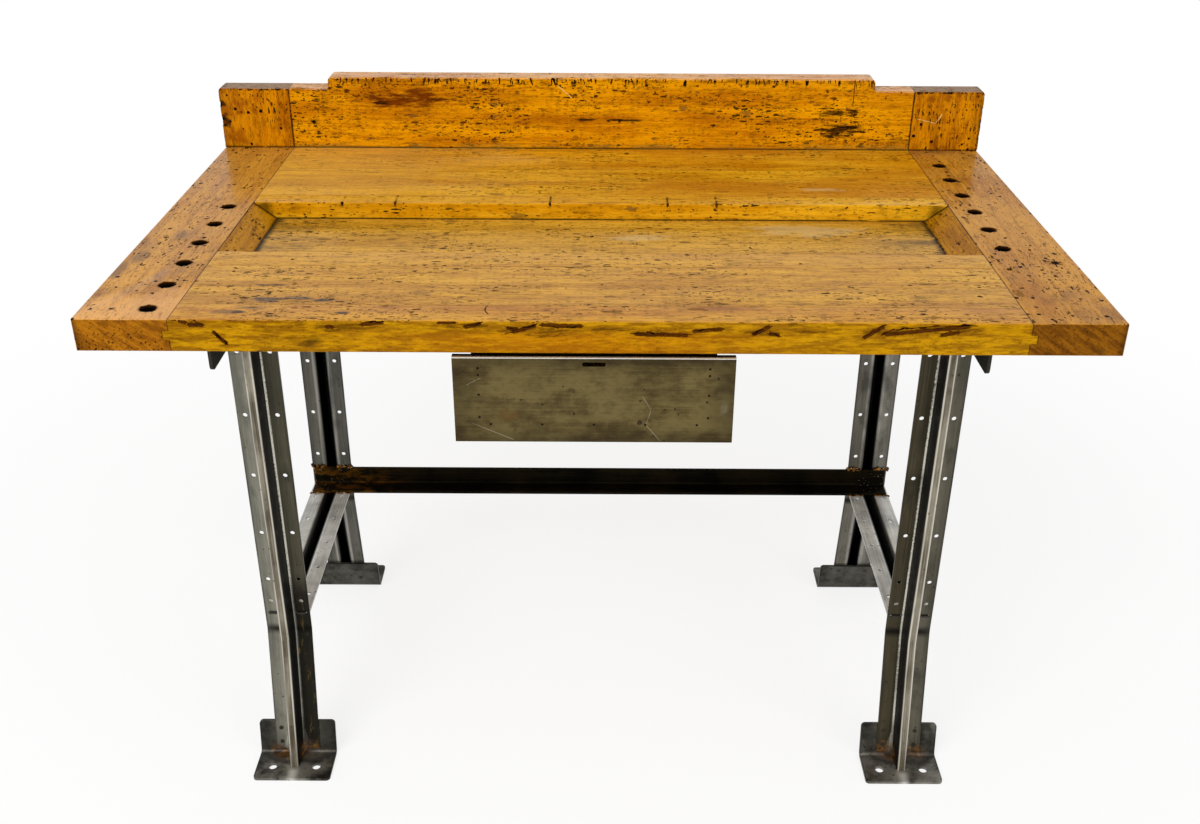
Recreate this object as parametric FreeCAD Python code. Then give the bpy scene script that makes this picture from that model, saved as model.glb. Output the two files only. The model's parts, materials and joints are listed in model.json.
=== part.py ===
import FreeCAD, Part
import math
import os

from FreeCAD import Vector

# An industrial workbench: a glued-up maple top with breadboard end caps, a tool well and a
# backboard, on four pressed-steel legs, with one sheet-steel drawer hung under the front.
# Lengths are millimetres. X runs to the right, Y back from the front edge of the top, and
# Z up from the floor. Each piece is saved with the origin on the floor, under the middle of
# the whole bench.

# Top
TOP_WIDTH = 1524.0
TOP_DEPTH = 914.4
TOP_HEIGHT = 863.6
TOP_THICK = 50.8
CAP_WIDTH = 139.7
TONGUE_LENGTH = 9.5
TONGUE_THICK = 14.3
ARRIS_R = 3.0
CORNER_R = 6.0
SEAM_EASE = 0.6
FRONT_SEAMS = (58.0, 136.0, 214.0)
REAR_SEAMS = (564.0, 724.0)

# Tool well
WELL_FRONT = 278.0
WELL_BACK = 523.0
WELL_DEPTH = 30.0
RAMP_RUN = 40.0
FLOOR_TONGUE_LENGTH = 8.0
FLOOR_TONGUE_THICK = 9.0

# Bench-dog holes, six in each end cap, and one smaller hole in the right cap
DOG_HOLE_R = 12.7
DOG_HOLE_COUNT = 6
DOG_HOLE_PITCH = 91.4
DOG_HOLE_INSET = 39.0
LEFT_DOG_START = 40.0
RIGHT_DOG_START = 305.0
PEG_HOLE_R = 5.5
PEG_HOLE_Y = 213.0
PEG_HOLE_INSET = 25.0
PEG_HOLE_DEPTH = 32.0

# Backboard
BACK_THICK = 47.6
BACK_HEIGHT = 119.0
BACK_RAISED_HEIGHT = 142.0
BACK_RAISED_HALF = 543.0
BACK_RAISED_R = 9.0
BACK_STEP_R = 4.0
BACK_ARRIS = 2.5

# Pressed-steel legs: a hat section whose lower part kicks outwards
LEG_X = 531.8
FRONT_LEG_Y = 91.6
REAR_LEG_Y = 518.6
LEG_WIDTH = 76.2
LEG_SHEET = 3.0
RIB_BASE = 20.0
RIB_FACE = 15.0
RIB_DEPTH = 37.0
RIB_ROOT_R = 5.0
RIB_CREST_R = 5.0
FLARE_TOP = 48.0
FLARE_APEX = 66.5
FLARE_END = -12.0
FLARE_TILT = math.radians(25.4)
FLARE_BITE = 1.02
BEND_Z = 245.0
KICK_ANGLE = math.radians(10.4)
FLANGE_HOLE_R = 4.0
FLANGE_HOLE_X = 25.5
FLANGE_HOLE_HEIGHTS = (302.0, 347.0, 440.0, 550.0, 660.0, 770.0)

# Feet: riveted angle plates with two floor-bolt holes
FOOT_WIDTH = 133.0
FOOT_DEPTH = 68.0
FOOT_HEIGHT = 66.0
FOOT_THICK = 5.0
FOOT_BEND_R = 6.0
FOOT_CORNER_R = 7.0
FOOT_BOLT_R = 7.2
FOOT_BOLT_SPACING = 76.2
FOOT_BOLT_SETBACK = 30.0
FLANGE_TRIM = 9.0
RIVET_R = 4.0
RIVET_PROUD = 0.5
RIVET_X = 27.5
RIVET_HEIGHTS = (27.0, 54.0)

# Stretchers
STRETCHER_Z = 277.0
TAB_WIDTH = 14.0
TAB_PROUD = 3.0
SLOT_WIDTH = 18.0
SLOT_CLEAR = 0.5
STRETCHER_HOLE_STEPS = (0.12, 0.31, 0.5, 0.69, 0.88)
ANGLE_LEG = 38.0
ANGLE_THICK = 5.0
ANGLE_ROOT_R = 4.0
ANGLE_TOE_R = 2.0
ANGLE_END_INSET = 4.0
BEAD_R = 4.0
BEAD_CREST = 2.8

# Rails between the legs and the top
RAIL_FLANGE = 81.0
RAIL_DROP = 38.0
RAIL_THICK = 4.8
RAIL_INSET = 12.0
RAIL_CORNER_R = 10.0
LAG_R = 4.0
LAG_LENGTH = 36.0
LAG_HEAD_ACROSS = 13.0
LAG_HEAD_HEIGHT = 5.5
LAG_POSITIONS = (160.0, 245.0, 640.0, 860.0)

# Screws up through the top into the backboard
BACK_SCREW_R = 3.0
BACK_SCREW_HEAD_R = 6.5
BACK_SCREW_HEAD_DEPTH = 4.0
BACK_SCREW_LENGTH = 110.0
BACK_SCREW_STEP = 272.0
BACK_SCREW_STEPS = (-2, -1, 0, 1, 2)

# Drawer and its runners
DRAWER_X = -8.5
DRAWER_SETBACK = 22.0
PANEL_WIDTH = 421.0
PANEL_HEIGHT = 143.0
PANEL_TOP = 796.0
PANEL_SHEET = 1.6
PANEL_LIP = 12.0
PANEL_BEND_R = 2.4
FINGER_WIDTH = 35.0
FINGER_HEIGHT = 7.0
FINGER_DROP = 11.0
FINGER_END_R = 3.4
TRAY_SHEET = 1.5
TRAY_HALF = 164.0
TRAY_DEPTH = 420.0
TRAY_BOTTOM = 674.0
TRAY_TOP = 784.5
TRAY_FLANGE = 16.0
TRAY_BEND_R = 2.5
TRAY_FRONT_FLANGE = 20.0
PIN_R = 2.0
PIN_PROUD = 0.3
PIN_COLUMN_X = 172.5
PIN_COLUMN_DROPS = (18.0, 29.0, 62.0, 100.0)
PIN_ROW_STEP = 78.0
PIN_ROW_STEPS = (-2, -1, 0, 1, 2)
PIN_ROW_Z = 684.0
RUNNER_SHEET = 1.8
RUNNER_LIP = 15.0
RUNNER_FLANGE = 20.0
RUNNER_BEND_R = 2.8
RUNNER_SIDE_GAP = 1.5
RUNNER_LIFT_GAP = 0.3
RUNNER_FRONT_GAP = 3.0
STOP_GAP = 1.0
RUNNER_SCREW_R = 2.5
RUNNER_SCREW_HEAD_R = 5.0
RUNNER_SCREW_HEAD_HEIGHT = 2.4
RUNNER_SCREW_LENGTH = 15.0
RUNNER_SCREW_POSITIONS = (70.0, 245.0, 425.0)

# Fits, the sides of small rounds that repeat, a length past the end of any piece, and no length
FIT_GAP = 0.15
HOLE_SIDES = 8
FASTENER_SIDES = 6
PAST_ANY = 3000.0
NO_LENGTH = 1e-4

# Worked-out places
TOP_BOTTOM = TOP_HEIGHT - TOP_THICK
PANEL_HALF = TOP_WIDTH / 2 - CAP_WIDTH
TONGUE_LOW = TOP_BOTTOM + (TOP_THICK - TONGUE_THICK) / 2
TONGUE_HIGH = TONGUE_LOW + TONGUE_THICK
WELL_FLOOR_Z = TOP_HEIGHT - WELL_DEPTH
BACK_FACE_Y = TOP_DEPTH - BACK_THICK
BACK_MID_Y = TOP_DEPTH - BACK_THICK / 2
LEG_TOP = TOP_BOTTOM - RAIL_THICK
REAR_LEG_OUTER_Y = REAR_LEG_Y + LEG_SHEET
RIVET_GRIP = LEG_SHEET + FOOT_THICK
STRETCHER_TOP = STRETCHER_Z + LEG_SHEET
FOOT_CORNER_Y = -(BEND_Z - FOOT_THICK) * math.tan(KICK_ANGLE) + LEG_SHEET / math.cos(KICK_ANGLE)
FOOT_FRONT_Y = FRONT_LEG_Y + FOOT_CORNER_Y - FOOT_DEPTH
BENCH_MIDDLE_Y = (TOP_DEPTH + FOOT_FRONT_Y) / 2
PANEL_BACK_Y = DRAWER_SETBACK + PANEL_SHEET
TRAY_END_Y = PANEL_BACK_Y + TRAY_DEPTH


def place(along, u, v, w):
    """The point with outline coordinates (u, v), at w on the axis that the outline runs along."""
    if along == "X":
        return Vector(w, u, v)
    if along == "Y":
        return Vector(u, w, v)
    return Vector(u, v, w)


def rounded_corner(before, at, after):
    """Start, middle and end of the arc that rounds a corner given as (u, v, radius)."""
    point = Vector(at[0], at[1], 0)
    if at[2] == 0:
        return point, point, point
    back = (Vector(before[0], before[1], 0) - point).normalize()
    ahead = (Vector(after[0], after[1], 0) - point).normalize()
    half_angle = back.getAngle(ahead) / 2
    reach = at[2] / math.tan(half_angle)
    inward = (back + ahead).normalize()
    middle = point + inward * (at[2] / math.sin(half_angle) - at[2])
    return point + back * reach, middle, point + ahead * reach


def outline(points, along, w):
    """Closed wire through (u, v, radius) corners."""
    count = len(points)
    corners = []
    for i in range(count):
        arc = rounded_corner(points[i - 1], points[i], points[(i + 1) % count])
        corners.append([place(along, p.x, p.y, w) for p in arc])
    edges = []
    for i in range(count):
        start, middle, end = corners[i]
        if start.distanceToPoint(end) > NO_LENGTH:
            edges.append(Part.Arc(start, middle, end).toShape())
        following = corners[(i + 1) % count][0]
        if end.distanceToPoint(following) > NO_LENGTH:
            edges.append(Part.makeLine(end, following))
    return Part.Wire(edges)


def prism(points, along, start, end):
    """The outline of (u, v, radius) corners, carried along an axis from start to end."""
    face = Part.Face(outline(points, along, start))
    return face.extrude(place(along, 0, 0, end - start))


def rectangle(u0, u1, v0, v1, radius=0):
    return [(u0, v0, radius), (u1, v0, radius), (u1, v1, radius), (u0, v1, radius)]


def box(x0, x1, y0, y1, z0, z1):
    return Part.makeBox(x1 - x0, y1 - y0, z1 - z0, Vector(x0, y0, z0))


def cylinder(radius, base, axis, length):
    return Part.makeCylinder(radius, length, base, axis)


def rod(radius, base, axis, length, sides=FASTENER_SIDES):
    """Many-sided rod, or the cutter of its hole, along an axis that is square to X."""
    across = Vector(1, 0, 0)
    upwards = axis.cross(across)
    corners = []
    for i in range(sides):
        angle = 2 * math.pi * (i + 0.5) / sides
        corners.append(base + (across * math.cos(angle) + upwards * math.sin(angle)) * radius)
    return Part.Face(Part.makePolygon(corners + corners[:1])).extrude(axis * length)


def mirrored(shape):
    return shape.mirror(Vector(0, 0, 0), Vector(1, 0, 0))


def left_normal(a, b):
    run = Vector(b[0] - a[0], b[1] - a[1], 0).normalize()
    return Vector(-run.y, run.x, 0)


def sheet(line, thick):
    """Closed outline of folded sheet metal: an open line and its copy, thick to its left."""
    copy = []
    last = len(line) - 1
    for i, (u, v, radius) in enumerate(line):
        before = left_normal(line[max(i - 1, 0)], line[max(i, 1)])
        after = left_normal(line[min(i, last - 1)], line[min(i + 1, last)])
        shift = (before + after) * (thick / (1 + before.dot(after)))
        turns_left = before.cross(after).z > 0
        if radius > 0:
            radius += -thick if turns_left else thick
        copy.append((u + shift.x, v + shift.y, radius))
    return line + copy[::-1]


# Top boards


def end_tongues(y0, y1):
    """The two tongues that carry a board into the end caps."""
    right = box(PANEL_HALF, PANEL_HALF + TONGUE_LENGTH, y0, y1, TONGUE_LOW, TONGUE_HIGH)
    return [right, mirrored(right)]


def floor_groove(y_mouth, inward):
    """Outline corners of the groove that takes the well floor's tongue, from low to high."""
    low = TOP_BOTTOM + (TOP_THICK - WELL_DEPTH - FLOOR_TONGUE_THICK) / 2
    high = low + FLOOR_TONGUE_THICK
    y_end = y_mouth + inward * FLOOR_TONGUE_LENGTH
    return [(y_mouth, low, 0), (y_end, low, 0), (y_end, high, 0), (y_mouth, high, 0)]


def board(y0, y1, front_r=SEAM_EASE, back_r=SEAM_EASE, low_front_r=0, low_back_r=0, groove=None):
    """One long board of the top, tongued at both ends."""
    front_groove = floor_groove(y0, 1)[::-1] if groove == "front" else []
    back_groove = floor_groove(y1, -1) if groove == "back" else []
    section = [(y0, TOP_BOTTOM, low_front_r), (y1, TOP_BOTTOM, low_back_r)] + back_groove
    section += [(y1, TOP_HEIGHT, back_r), (y0, TOP_HEIGHT, front_r)] + front_groove
    body = prism(section, "X", -PANEL_HALF, PANEL_HALF)
    return body.fuse(end_tongues(y0, y1)).removeSplitter()


def front_boards():
    edges = (0.0,) + FRONT_SEAMS + (WELL_FRONT,)
    boards = {}
    for i in range(len(edges) - 1):
        first = i == 0
        last = i == len(edges) - 2
        boards[f"front_board_{i + 1}"] = board(
            edges[i],
            edges[i + 1],
            front_r=ARRIS_R if first else SEAM_EASE,
            low_front_r=ARRIS_R if first else 0,
            back_r=ARRIS_R if last else SEAM_EASE,
            groove="back" if last else None,
        )
    return boards


def rear_boards():
    strip_end, seam = REAR_SEAMS
    return {
        "rear_strip": board(WELL_BACK, strip_end, front_r=ARRIS_R, groove="front"),
        "rear_board_1": board(strip_end, seam),
        "rear_board_2": board(seam, TOP_DEPTH, back_r=ARRIS_R, low_back_r=ARRIS_R),
    }


def well_floor():
    low_groove = floor_groove(WELL_FRONT, -1)
    high_groove = floor_groove(WELL_BACK, 1)
    section = [(WELL_FRONT, TOP_BOTTOM, 0), (WELL_BACK, TOP_BOTTOM, 0)] + high_groove
    section += [(WELL_BACK, WELL_FLOOR_Z, 0), (WELL_FRONT, WELL_FLOOR_Z, 0)] + low_groove[::-1]
    return prism(section, "X", -PANEL_HALF, PANEL_HALF)


def right_ramp():
    """Wedge that slopes from the cap's edge down to the well floor."""
    toe = PANEL_HALF - RAMP_RUN
    section = [(toe, WELL_FLOOR_Z, 0), (PANEL_HALF, WELL_FLOOR_Z, 0), (PANEL_HALF, TOP_HEIGHT, 0)]
    return prism(section, "Y", WELL_FRONT, WELL_BACK)


def plain_right_cap():
    """End cap with its groove, rounded on its three outer sides."""
    inner = PANEL_HALF
    outer = TOP_WIDTH / 2
    deep = inner + TONGUE_LENGTH
    section = [
        (inner, TOP_BOTTOM, 0),
        (outer, TOP_BOTTOM, ARRIS_R),
        (outer, TOP_HEIGHT, ARRIS_R),
        (inner, TOP_HEIGHT, SEAM_EASE),
        (inner, TONGUE_HIGH, 0),
        (deep, TONGUE_HIGH, 0),
        (deep, TONGUE_LOW, 0),
        (inner, TONGUE_LOW, 0),
    ]
    plan = [(inner, 0, 0), (outer, 0, CORNER_R), (outer, TOP_DEPTH, CORNER_R), (inner, TOP_DEPTH, 0)]
    side = rectangle(0, TOP_DEPTH, TOP_BOTTOM, TOP_HEIGHT, ARRIS_R)
    cap = prism(section, "Y", 0, TOP_DEPTH)
    cap = cap.common(prism(plan, "Z", TOP_BOTTOM, TOP_HEIGHT))
    return cap.common(prism(side, "X", inner, outer))


def dog_holes(x, start):
    up = Vector(0, 0, 1)
    holes = []
    for i in range(DOG_HOLE_COUNT):
        base = Vector(x, start + i * DOG_HOLE_PITCH, TOP_BOTTOM)
        holes.append(cylinder(DOG_HOLE_R, base, up, TOP_THICK))
    return holes


def end_caps():
    right = plain_right_cap()
    left = mirrored(right)
    row_x = PANEL_HALF + DOG_HOLE_INSET
    peg_base = Vector(PANEL_HALF + PEG_HOLE_INSET, PEG_HOLE_Y, TOP_HEIGHT - PEG_HOLE_DEPTH)
    peg_hole = cylinder(PEG_HOLE_R, peg_base, Vector(0, 0, 1), PEG_HOLE_DEPTH)
    return {
        "left_end_cap": left.cut(dog_holes(-row_x, LEFT_DOG_START)),
        "right_end_cap": right.cut(dog_holes(row_x, RIGHT_DOG_START) + [peg_hole]),
    }


# Backboard


def on_backboard_top(edge):
    """Whether an edge runs along the top outline of the backboard's front or back face."""
    limits = edge.BoundBox
    if limits.YLength > NO_LENGTH:
        return False
    return limits.ZMin > TOP_HEIGHT + BACK_HEIGHT / 2


def backboard():
    foot = TOP_HEIGHT
    shoulder = foot + BACK_HEIGHT
    crest = foot + BACK_RAISED_HEIGHT
    half = BACK_RAISED_HALF
    right_side = [
        (PANEL_HALF, foot, 0),
        (PANEL_HALF, shoulder, 0),
        (half, shoulder, BACK_STEP_R),
        (half, crest, BACK_RAISED_R),
    ]
    left_side = [(-u, v, radius) for u, v, radius in right_side[::-1]]
    body = prism(right_side + left_side, "Y", BACK_FACE_Y, TOP_DEPTH)
    body = body.makeChamfer(BACK_ARRIS, [edge for edge in body.Edges if on_backboard_top(edge)])
    tongue = back_tongue()
    return body.fuse([tongue, mirrored(tongue)])


def back_tongue():
    """The tongue at the backboard's right end, which fills the groove in the cleat."""
    half = TONGUE_THICK / 2
    top = TOP_HEIGHT + BACK_HEIGHT - BACK_ARRIS
    end = PANEL_HALF + TONGUE_LENGTH
    return box(PANEL_HALF, end, BACK_MID_Y - half, BACK_MID_Y + half, TOP_HEIGHT, top)


def right_cleat():
    """Upright end piece of the backboard, grooved for its tongue."""
    outer = TOP_WIDTH / 2
    top = TOP_HEIGHT + BACK_HEIGHT
    front = [
        (PANEL_HALF, TOP_HEIGHT, 0),
        (outer, TOP_HEIGHT, 0),
        (outer, top, CORNER_R),
        (PANEL_HALF, top, 0),
    ]
    side = [
        (BACK_FACE_Y, TOP_HEIGHT, 0),
        (TOP_DEPTH, TOP_HEIGHT, 0),
        (TOP_DEPTH, top, BACK_ARRIS),
        (BACK_FACE_Y, top, BACK_ARRIS),
    ]
    body = prism(front, "Y", BACK_FACE_Y, TOP_DEPTH).common(prism(side, "X", PANEL_HALF, outer))
    return body.cut(back_tongue())


# Legs and feet, made at x = 0 with the flange's outer face at y = 0 and the rib towards -Y


def hat_line(root_r=RIB_ROOT_R):
    """Outer line of the hat section as (across, outwards, radius), right to left."""
    right = [(LEG_WIDTH / 2, 0, 0), (RIB_BASE / 2, 0, root_r), (RIB_FACE / 2, RIB_DEPTH, RIB_CREST_R)]
    return right + [(-u, v, radius) for u, v, radius in right[::-1]]


def hat_section(root_r=RIB_ROOT_R):
    return [(u, -v, radius) for u, v, radius in sheet(hat_line(root_r), LEG_SHEET)]


def pyramid(apex, base):
    """Solid between a point and a polygon."""
    faces = [Part.Face(Part.makePolygon(base + base[:1]))]
    for i, corner in enumerate(base):
        faces.append(Part.Face(Part.makePolygon([base[i - 1], corner, apex, base[i - 1]])))
    return Part.makeSolid(Part.makeShell(faces))


def flare():
    """Hollow in the corner of the right flange and the rib, which widens downwards like a horn."""
    along_flange = Vector(1, 0, 0)
    along_rib = Vector((RIB_FACE - RIB_BASE) / 2, -RIB_DEPTH, 0).normalize()
    half_angle = along_flange.getAngle(along_rib) / 2
    between = (along_flange + along_rib).normalize()
    apex = Vector(RIB_BASE / 2, 0, FLARE_APEX)
    foot = Vector(RIB_BASE / 2, 0, FLARE_END)
    fall = FLARE_APEX - FLARE_END
    reach = fall * math.tan(FLARE_TILT) * math.cos(half_angle)
    corner = foot - between * LEG_SHEET
    filling = pyramid(apex, [corner, foot + along_flange * reach, foot + along_rib * reach])
    axis = between * math.sin(FLARE_TILT) - Vector(0, 0, math.cos(FLARE_TILT))
    horn_angle = FLARE_BITE * math.asin(math.sin(FLARE_TILT) * math.sin(half_angle))
    horn = Part.makeCone(0, 2 * fall * math.tan(horn_angle), 2 * fall, apex, axis)
    return filling.cut(horn).common(box(0, LEG_WIDTH, -LEG_WIDTH, LEG_WIDTH, FLARE_END, FLARE_TOP))


def flared_end():
    """The lowest part of a leg, where the roots of the rib spread out towards the foot."""
    right = flare()
    return prism(hat_section(0), "Z", FLARE_END, FLARE_TOP).fuse([right, mirrored(right)])


def pressed_leg():
    """Upright hat section, bent so that its lower part kicks outwards, with its holes and slots."""
    upper = prism(hat_section(), "Z", BEND_Z - LEG_WIDTH, LEG_TOP)
    lower = prism(hat_section(), "Z", FLARE_TOP, BEND_Z + LEG_WIDTH).fuse(flared_end())
    below_bend = box(-LEG_WIDTH, LEG_WIDTH, -PAST_ANY, PAST_ANY, -PAST_ANY, BEND_Z)
    bend_line = Vector(0, 0, BEND_Z)
    lower.rotate(bend_line, Vector(-1, 0, 0), math.degrees(KICK_ANGLE))
    below_bend.rotate(bend_line, Vector(-1, 0, 0), math.degrees(KICK_ANGLE / 2))
    leg = upper.cut(below_bend).fuse(lower.common(below_bend))
    leg = leg.cut(box(-LEG_WIDTH, LEG_WIDTH, -PAST_ANY, PAST_ANY, -PAST_ANY, FOOT_THICK))
    trim = flange_trim()
    trims = [trim, mirrored(trim), foot_bend_room()]
    return leg.cut(trims + flange_holes() + tab_slots() + rivet_holes()).removeSplitter()


def flange_trim():
    """Space under the right flange, whose edge curves up from the foot while the rib stands on it."""
    inner = RIB_FACE / 2 + LEG_SHEET
    top = FOOT_THICK + FLANGE_TRIM
    corners = [(inner, 0, 0), (LEG_WIDTH, 0, 0), (LEG_WIDTH, top, 0), (inner, top, FLANGE_TRIM)]
    return prism(corners, "Y", -PAST_ANY, PAST_ANY)


def foot_bend_room():
    """Space behind the rib for the rounded corner of the foot."""
    foot_y = -(BEND_Z - FOOT_THICK) * math.tan(KICK_ANGLE) - LEG_SHEET
    return box(-LEG_WIDTH, LEG_WIDTH, foot_y, foot_y + LEG_WIDTH, 0, FOOT_THICK + FLANGE_TRIM)


def flange_holes():
    holes = []
    for z in FLANGE_HOLE_HEIGHTS:
        for x in (-FLANGE_HOLE_X, FLANGE_HOLE_X):
            base = Vector(x, -LEG_SHEET, z)
            holes.append(rod(FLANGE_HOLE_R, base, Vector(0, 1, 0), 3 * LEG_SHEET, HOLE_SIDES))
    return holes


def tab_x():
    """Middle of a flange, where a stretcher's tab goes through."""
    return (LEG_WIDTH + RIB_BASE) / 4


def tab_slots():
    half = SLOT_WIDTH / 2
    low = STRETCHER_Z - SLOT_CLEAR
    high = STRETCHER_TOP + SLOT_CLEAR
    slot = box(tab_x() - half, tab_x() + half, -LEG_SHEET, 2 * LEG_SHEET, low, high)
    return [slot, mirrored(slot)]


def outward():
    """Direction square to the kicked part of the leg, away from the bench."""
    return Vector(0, -math.cos(KICK_ANGLE), math.sin(KICK_ANGLE))


def rivet_seats():
    """Points on the flange's outer face where the foot rivets go."""
    seats = []
    for z in RIVET_HEIGHTS:
        for x in (-RIVET_X, RIVET_X):
            seats.append(Vector(x, -(BEND_Z - z) * math.tan(KICK_ANGLE), z))
    return seats


def rivet_holes():
    inward = outward() * -1
    holes = []
    for seat in rivet_seats():
        front = seat + outward() * RIVET_GRIP
        holes.append(rod(RIVET_R + FIT_GAP, front, inward, 3 * RIVET_GRIP, HOLE_SIDES))
    return holes


def foot_rivets():
    """Rivets hammered nearly flush, which hold one leg to its foot."""
    inward = outward() * -1
    length = RIVET_GRIP + 2 * RIVET_PROUD
    rivets = []
    for seat in rivet_seats():
        rivets.append(rod(RIVET_R, seat + outward() * RIVET_PROUD, inward, length, HOLE_SIDES))
    return rivets


def foot():
    """Bent plate: an upstand behind the flanges and a plate on the floor."""
    rise = FOOT_HEIGHT - FOOT_THICK
    top_y = FOOT_CORNER_Y + rise * math.tan(KICK_ANGLE)
    line = [
        (top_y, FOOT_HEIGHT, 0),
        (FOOT_CORNER_Y, FOOT_THICK, FOOT_BEND_R),
        (FOOT_CORNER_Y - FOOT_DEPTH, FOOT_THICK, 0),
    ]
    half = FOOT_WIDTH / 2
    plate = prism(sheet(line, FOOT_THICK), "X", -half, half)
    corners = [edge for edge in plate.Edges if abs(edge.Length - FOOT_THICK) < NO_LENGTH]
    plate = plate.makeFillet(FOOT_CORNER_R, corners)
    bolt_y = FOOT_CORNER_Y - FOOT_DEPTH + FOOT_BOLT_SETBACK
    holes = []
    for x in (-FOOT_BOLT_SPACING / 2, FOOT_BOLT_SPACING / 2):
        holes.append(cylinder(FOOT_BOLT_R, Vector(x, bolt_y, 0), Vector(0, 0, 1), FOOT_THICK))
    return plate.cut(holes + rivet_holes())


def at_corner(shape, side, row):
    """Place a leg piece at one corner: side -1 is left, row 'rear' turns it to face back."""
    moved = shape.copy()
    y = FRONT_LEG_Y
    if row == "rear":
        moved.rotate(Vector(0, 0, 0), Vector(0, 0, 1), 180)
        y = REAR_LEG_OUTER_Y
    moved.translate(Vector(side * LEG_X, y, 0))
    return moved


def at_four_corners(shape, kind):
    pieces = {}
    for row in ("front", "rear"):
        for side, hand in ((-1, "left"), (1, "right")):
            pieces[f"{row}_{hand}_{kind}"] = at_corner(shape, side, row)
    return pieces


# Stretchers, rails and welds


def right_side_stretcher():
    """Hat section lying rib down between two legs, with tabs through their slots."""
    line = [(LEG_X + u, STRETCHER_Z - v, radius) for u, v, radius in hat_line()]
    start = FRONT_LEG_Y + LEG_SHEET
    body = prism(sheet(line[::-1], LEG_SHEET), "Y", start, REAR_LEG_Y)
    tabs = []
    for side in (-1, 1):
        x = LEG_X + side * tab_x()
        y0 = FRONT_LEG_Y - TAB_PROUD
        y1 = REAR_LEG_OUTER_Y + TAB_PROUD
        tabs.append(box(x - TAB_WIDTH / 2, x + TAB_WIDTH / 2, y0, start, STRETCHER_Z, STRETCHER_TOP))
        tabs.append(box(x - TAB_WIDTH / 2, x + TAB_WIDTH / 2, REAR_LEG_Y, y1, STRETCHER_Z, STRETCHER_TOP))
    return body.fuse(tabs).removeSplitter().cut(stretcher_holes(start))


def stretcher_holes(start):
    holes = []
    for step in STRETCHER_HOLE_STEPS:
        for side in (-1, 1):
            y = start + step * (REAR_LEG_Y - start)
            base = Vector(LEG_X + side * FLANGE_HOLE_X, y, STRETCHER_Z)
            holes.append(rod(FLANGE_HOLE_R, base, Vector(0, 0, 1), LEG_SHEET, HOLE_SIDES))
    return holes


def back_stretcher():
    """Angle iron across the fronts of the rear legs, standing on the side stretchers."""
    half = LEG_X + LEG_WIDTH / 2 - ANGLE_END_INSET
    low = STRETCHER_TOP
    section = [
        (REAR_LEG_Y, low, 0),
        (REAR_LEG_Y, low + ANGLE_LEG, 0),
        (REAR_LEG_Y - ANGLE_THICK, low + ANGLE_LEG, ANGLE_TOE_R),
        (REAR_LEG_Y - ANGLE_THICK, low + ANGLE_THICK, ANGLE_ROOT_R),
        (REAR_LEG_Y - ANGLE_LEG, low + ANGLE_THICK, ANGLE_TOE_R),
        (REAR_LEG_Y - ANGLE_LEG, low, 0),
    ]
    return prism(section, "X", -half, half)


def bead(x0, x1, y, z, ahead, above):
    """Weld bead along X in the corner at (y, z), standing out towards the signs ahead and above."""
    corners = [
        (y, z, 0),
        (y + ahead * BEAD_R, z, 0),
        (y + ahead * BEAD_CREST, z + above * BEAD_CREST, 0),
        (y, z + above * BEAD_R, 0),
    ]
    return prism(corners, "X", x0, x1)


def right_weld_beads():
    """Beads on the back stretcher's end and between the legs and the rail."""
    outer = LEG_X + LEG_WIDTH / 2
    inner = LEG_X + RIB_BASE / 2 + RIB_ROOT_R + LEG_SHEET
    front_inside = FRONT_LEG_Y + LEG_SHEET
    return [
        bead(inner, outer - ANGLE_END_INSET, REAR_LEG_Y, STRETCHER_TOP + ANGLE_LEG, -1, 1),
        bead(inner, outer, REAR_LEG_Y, LEG_TOP, -1, -1),
        bead(inner, outer, front_inside, LEG_TOP, 1, -1),
    ]


def right_top_rail():
    """Angle that joins the legs to the top, its drop outside the legs."""
    inner = LEG_X + LEG_WIDTH / 2
    outer = inner + RAIL_THICK
    section = [
        (outer, TOP_BOTTOM, 0),
        (outer - RAIL_FLANGE, TOP_BOTTOM, 0),
        (outer - RAIL_FLANGE, LEG_TOP, 0),
        (inner, LEG_TOP, 0),
        (inner, TOP_BOTTOM - RAIL_DROP, 0),
        (outer, TOP_BOTTOM - RAIL_DROP, 0),
    ]
    y0 = RAIL_INSET
    y1 = TOP_DEPTH - RAIL_INSET
    low = TOP_BOTTOM - RAIL_DROP
    side = [(y0, TOP_BOTTOM, 0), (y0, low, RAIL_CORNER_R), (y1, low, RAIL_CORNER_R), (y1, TOP_BOTTOM, 0)]
    rail = prism(section, "Y", y0, y1).common(prism(side, "X", outer - RAIL_FLANGE, outer))
    return rail.cut(lag_holes())


def lag_places():
    return [Vector(LEG_X, y, LEG_TOP) for y in LAG_POSITIONS]


def lag_holes():
    up = Vector(0, 0, 1)
    length = RAIL_THICK + LAG_LENGTH + FIT_GAP
    return [rod(LAG_R + FIT_GAP, seat, up, length) for seat in lag_places()]


def hexagon(centre, across):
    corner_r = across / math.sqrt(3)
    corners = []
    for i in range(6):
        angle = math.radians(60 * i)
        corners.append((centre.x + corner_r * math.cos(angle), centre.y + corner_r * math.sin(angle), 0))
    return corners


def right_lag_screws():
    screws = []
    for seat in lag_places():
        head = prism(hexagon(seat, LAG_HEAD_ACROSS), "Z", LEG_TOP - LAG_HEAD_HEIGHT, LEG_TOP)
        shank = rod(LAG_R, seat, Vector(0, 0, 1), RAIL_THICK + LAG_LENGTH)
        screws.append(head.fuse(shank))
    return screws


# Backboard screws


def back_screw(x, gap):
    """Screw up through the top into the backboard, its head let in, or its hole, gap larger."""
    up = Vector(0, 0, 1)
    base = Vector(x, BACK_MID_Y, TOP_BOTTOM)
    shank = rod(BACK_SCREW_R + gap, base, up, BACK_SCREW_LENGTH + gap)
    head = rod(BACK_SCREW_HEAD_R + gap, base, up, BACK_SCREW_HEAD_DEPTH + gap)
    return shank.fuse(head)


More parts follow.
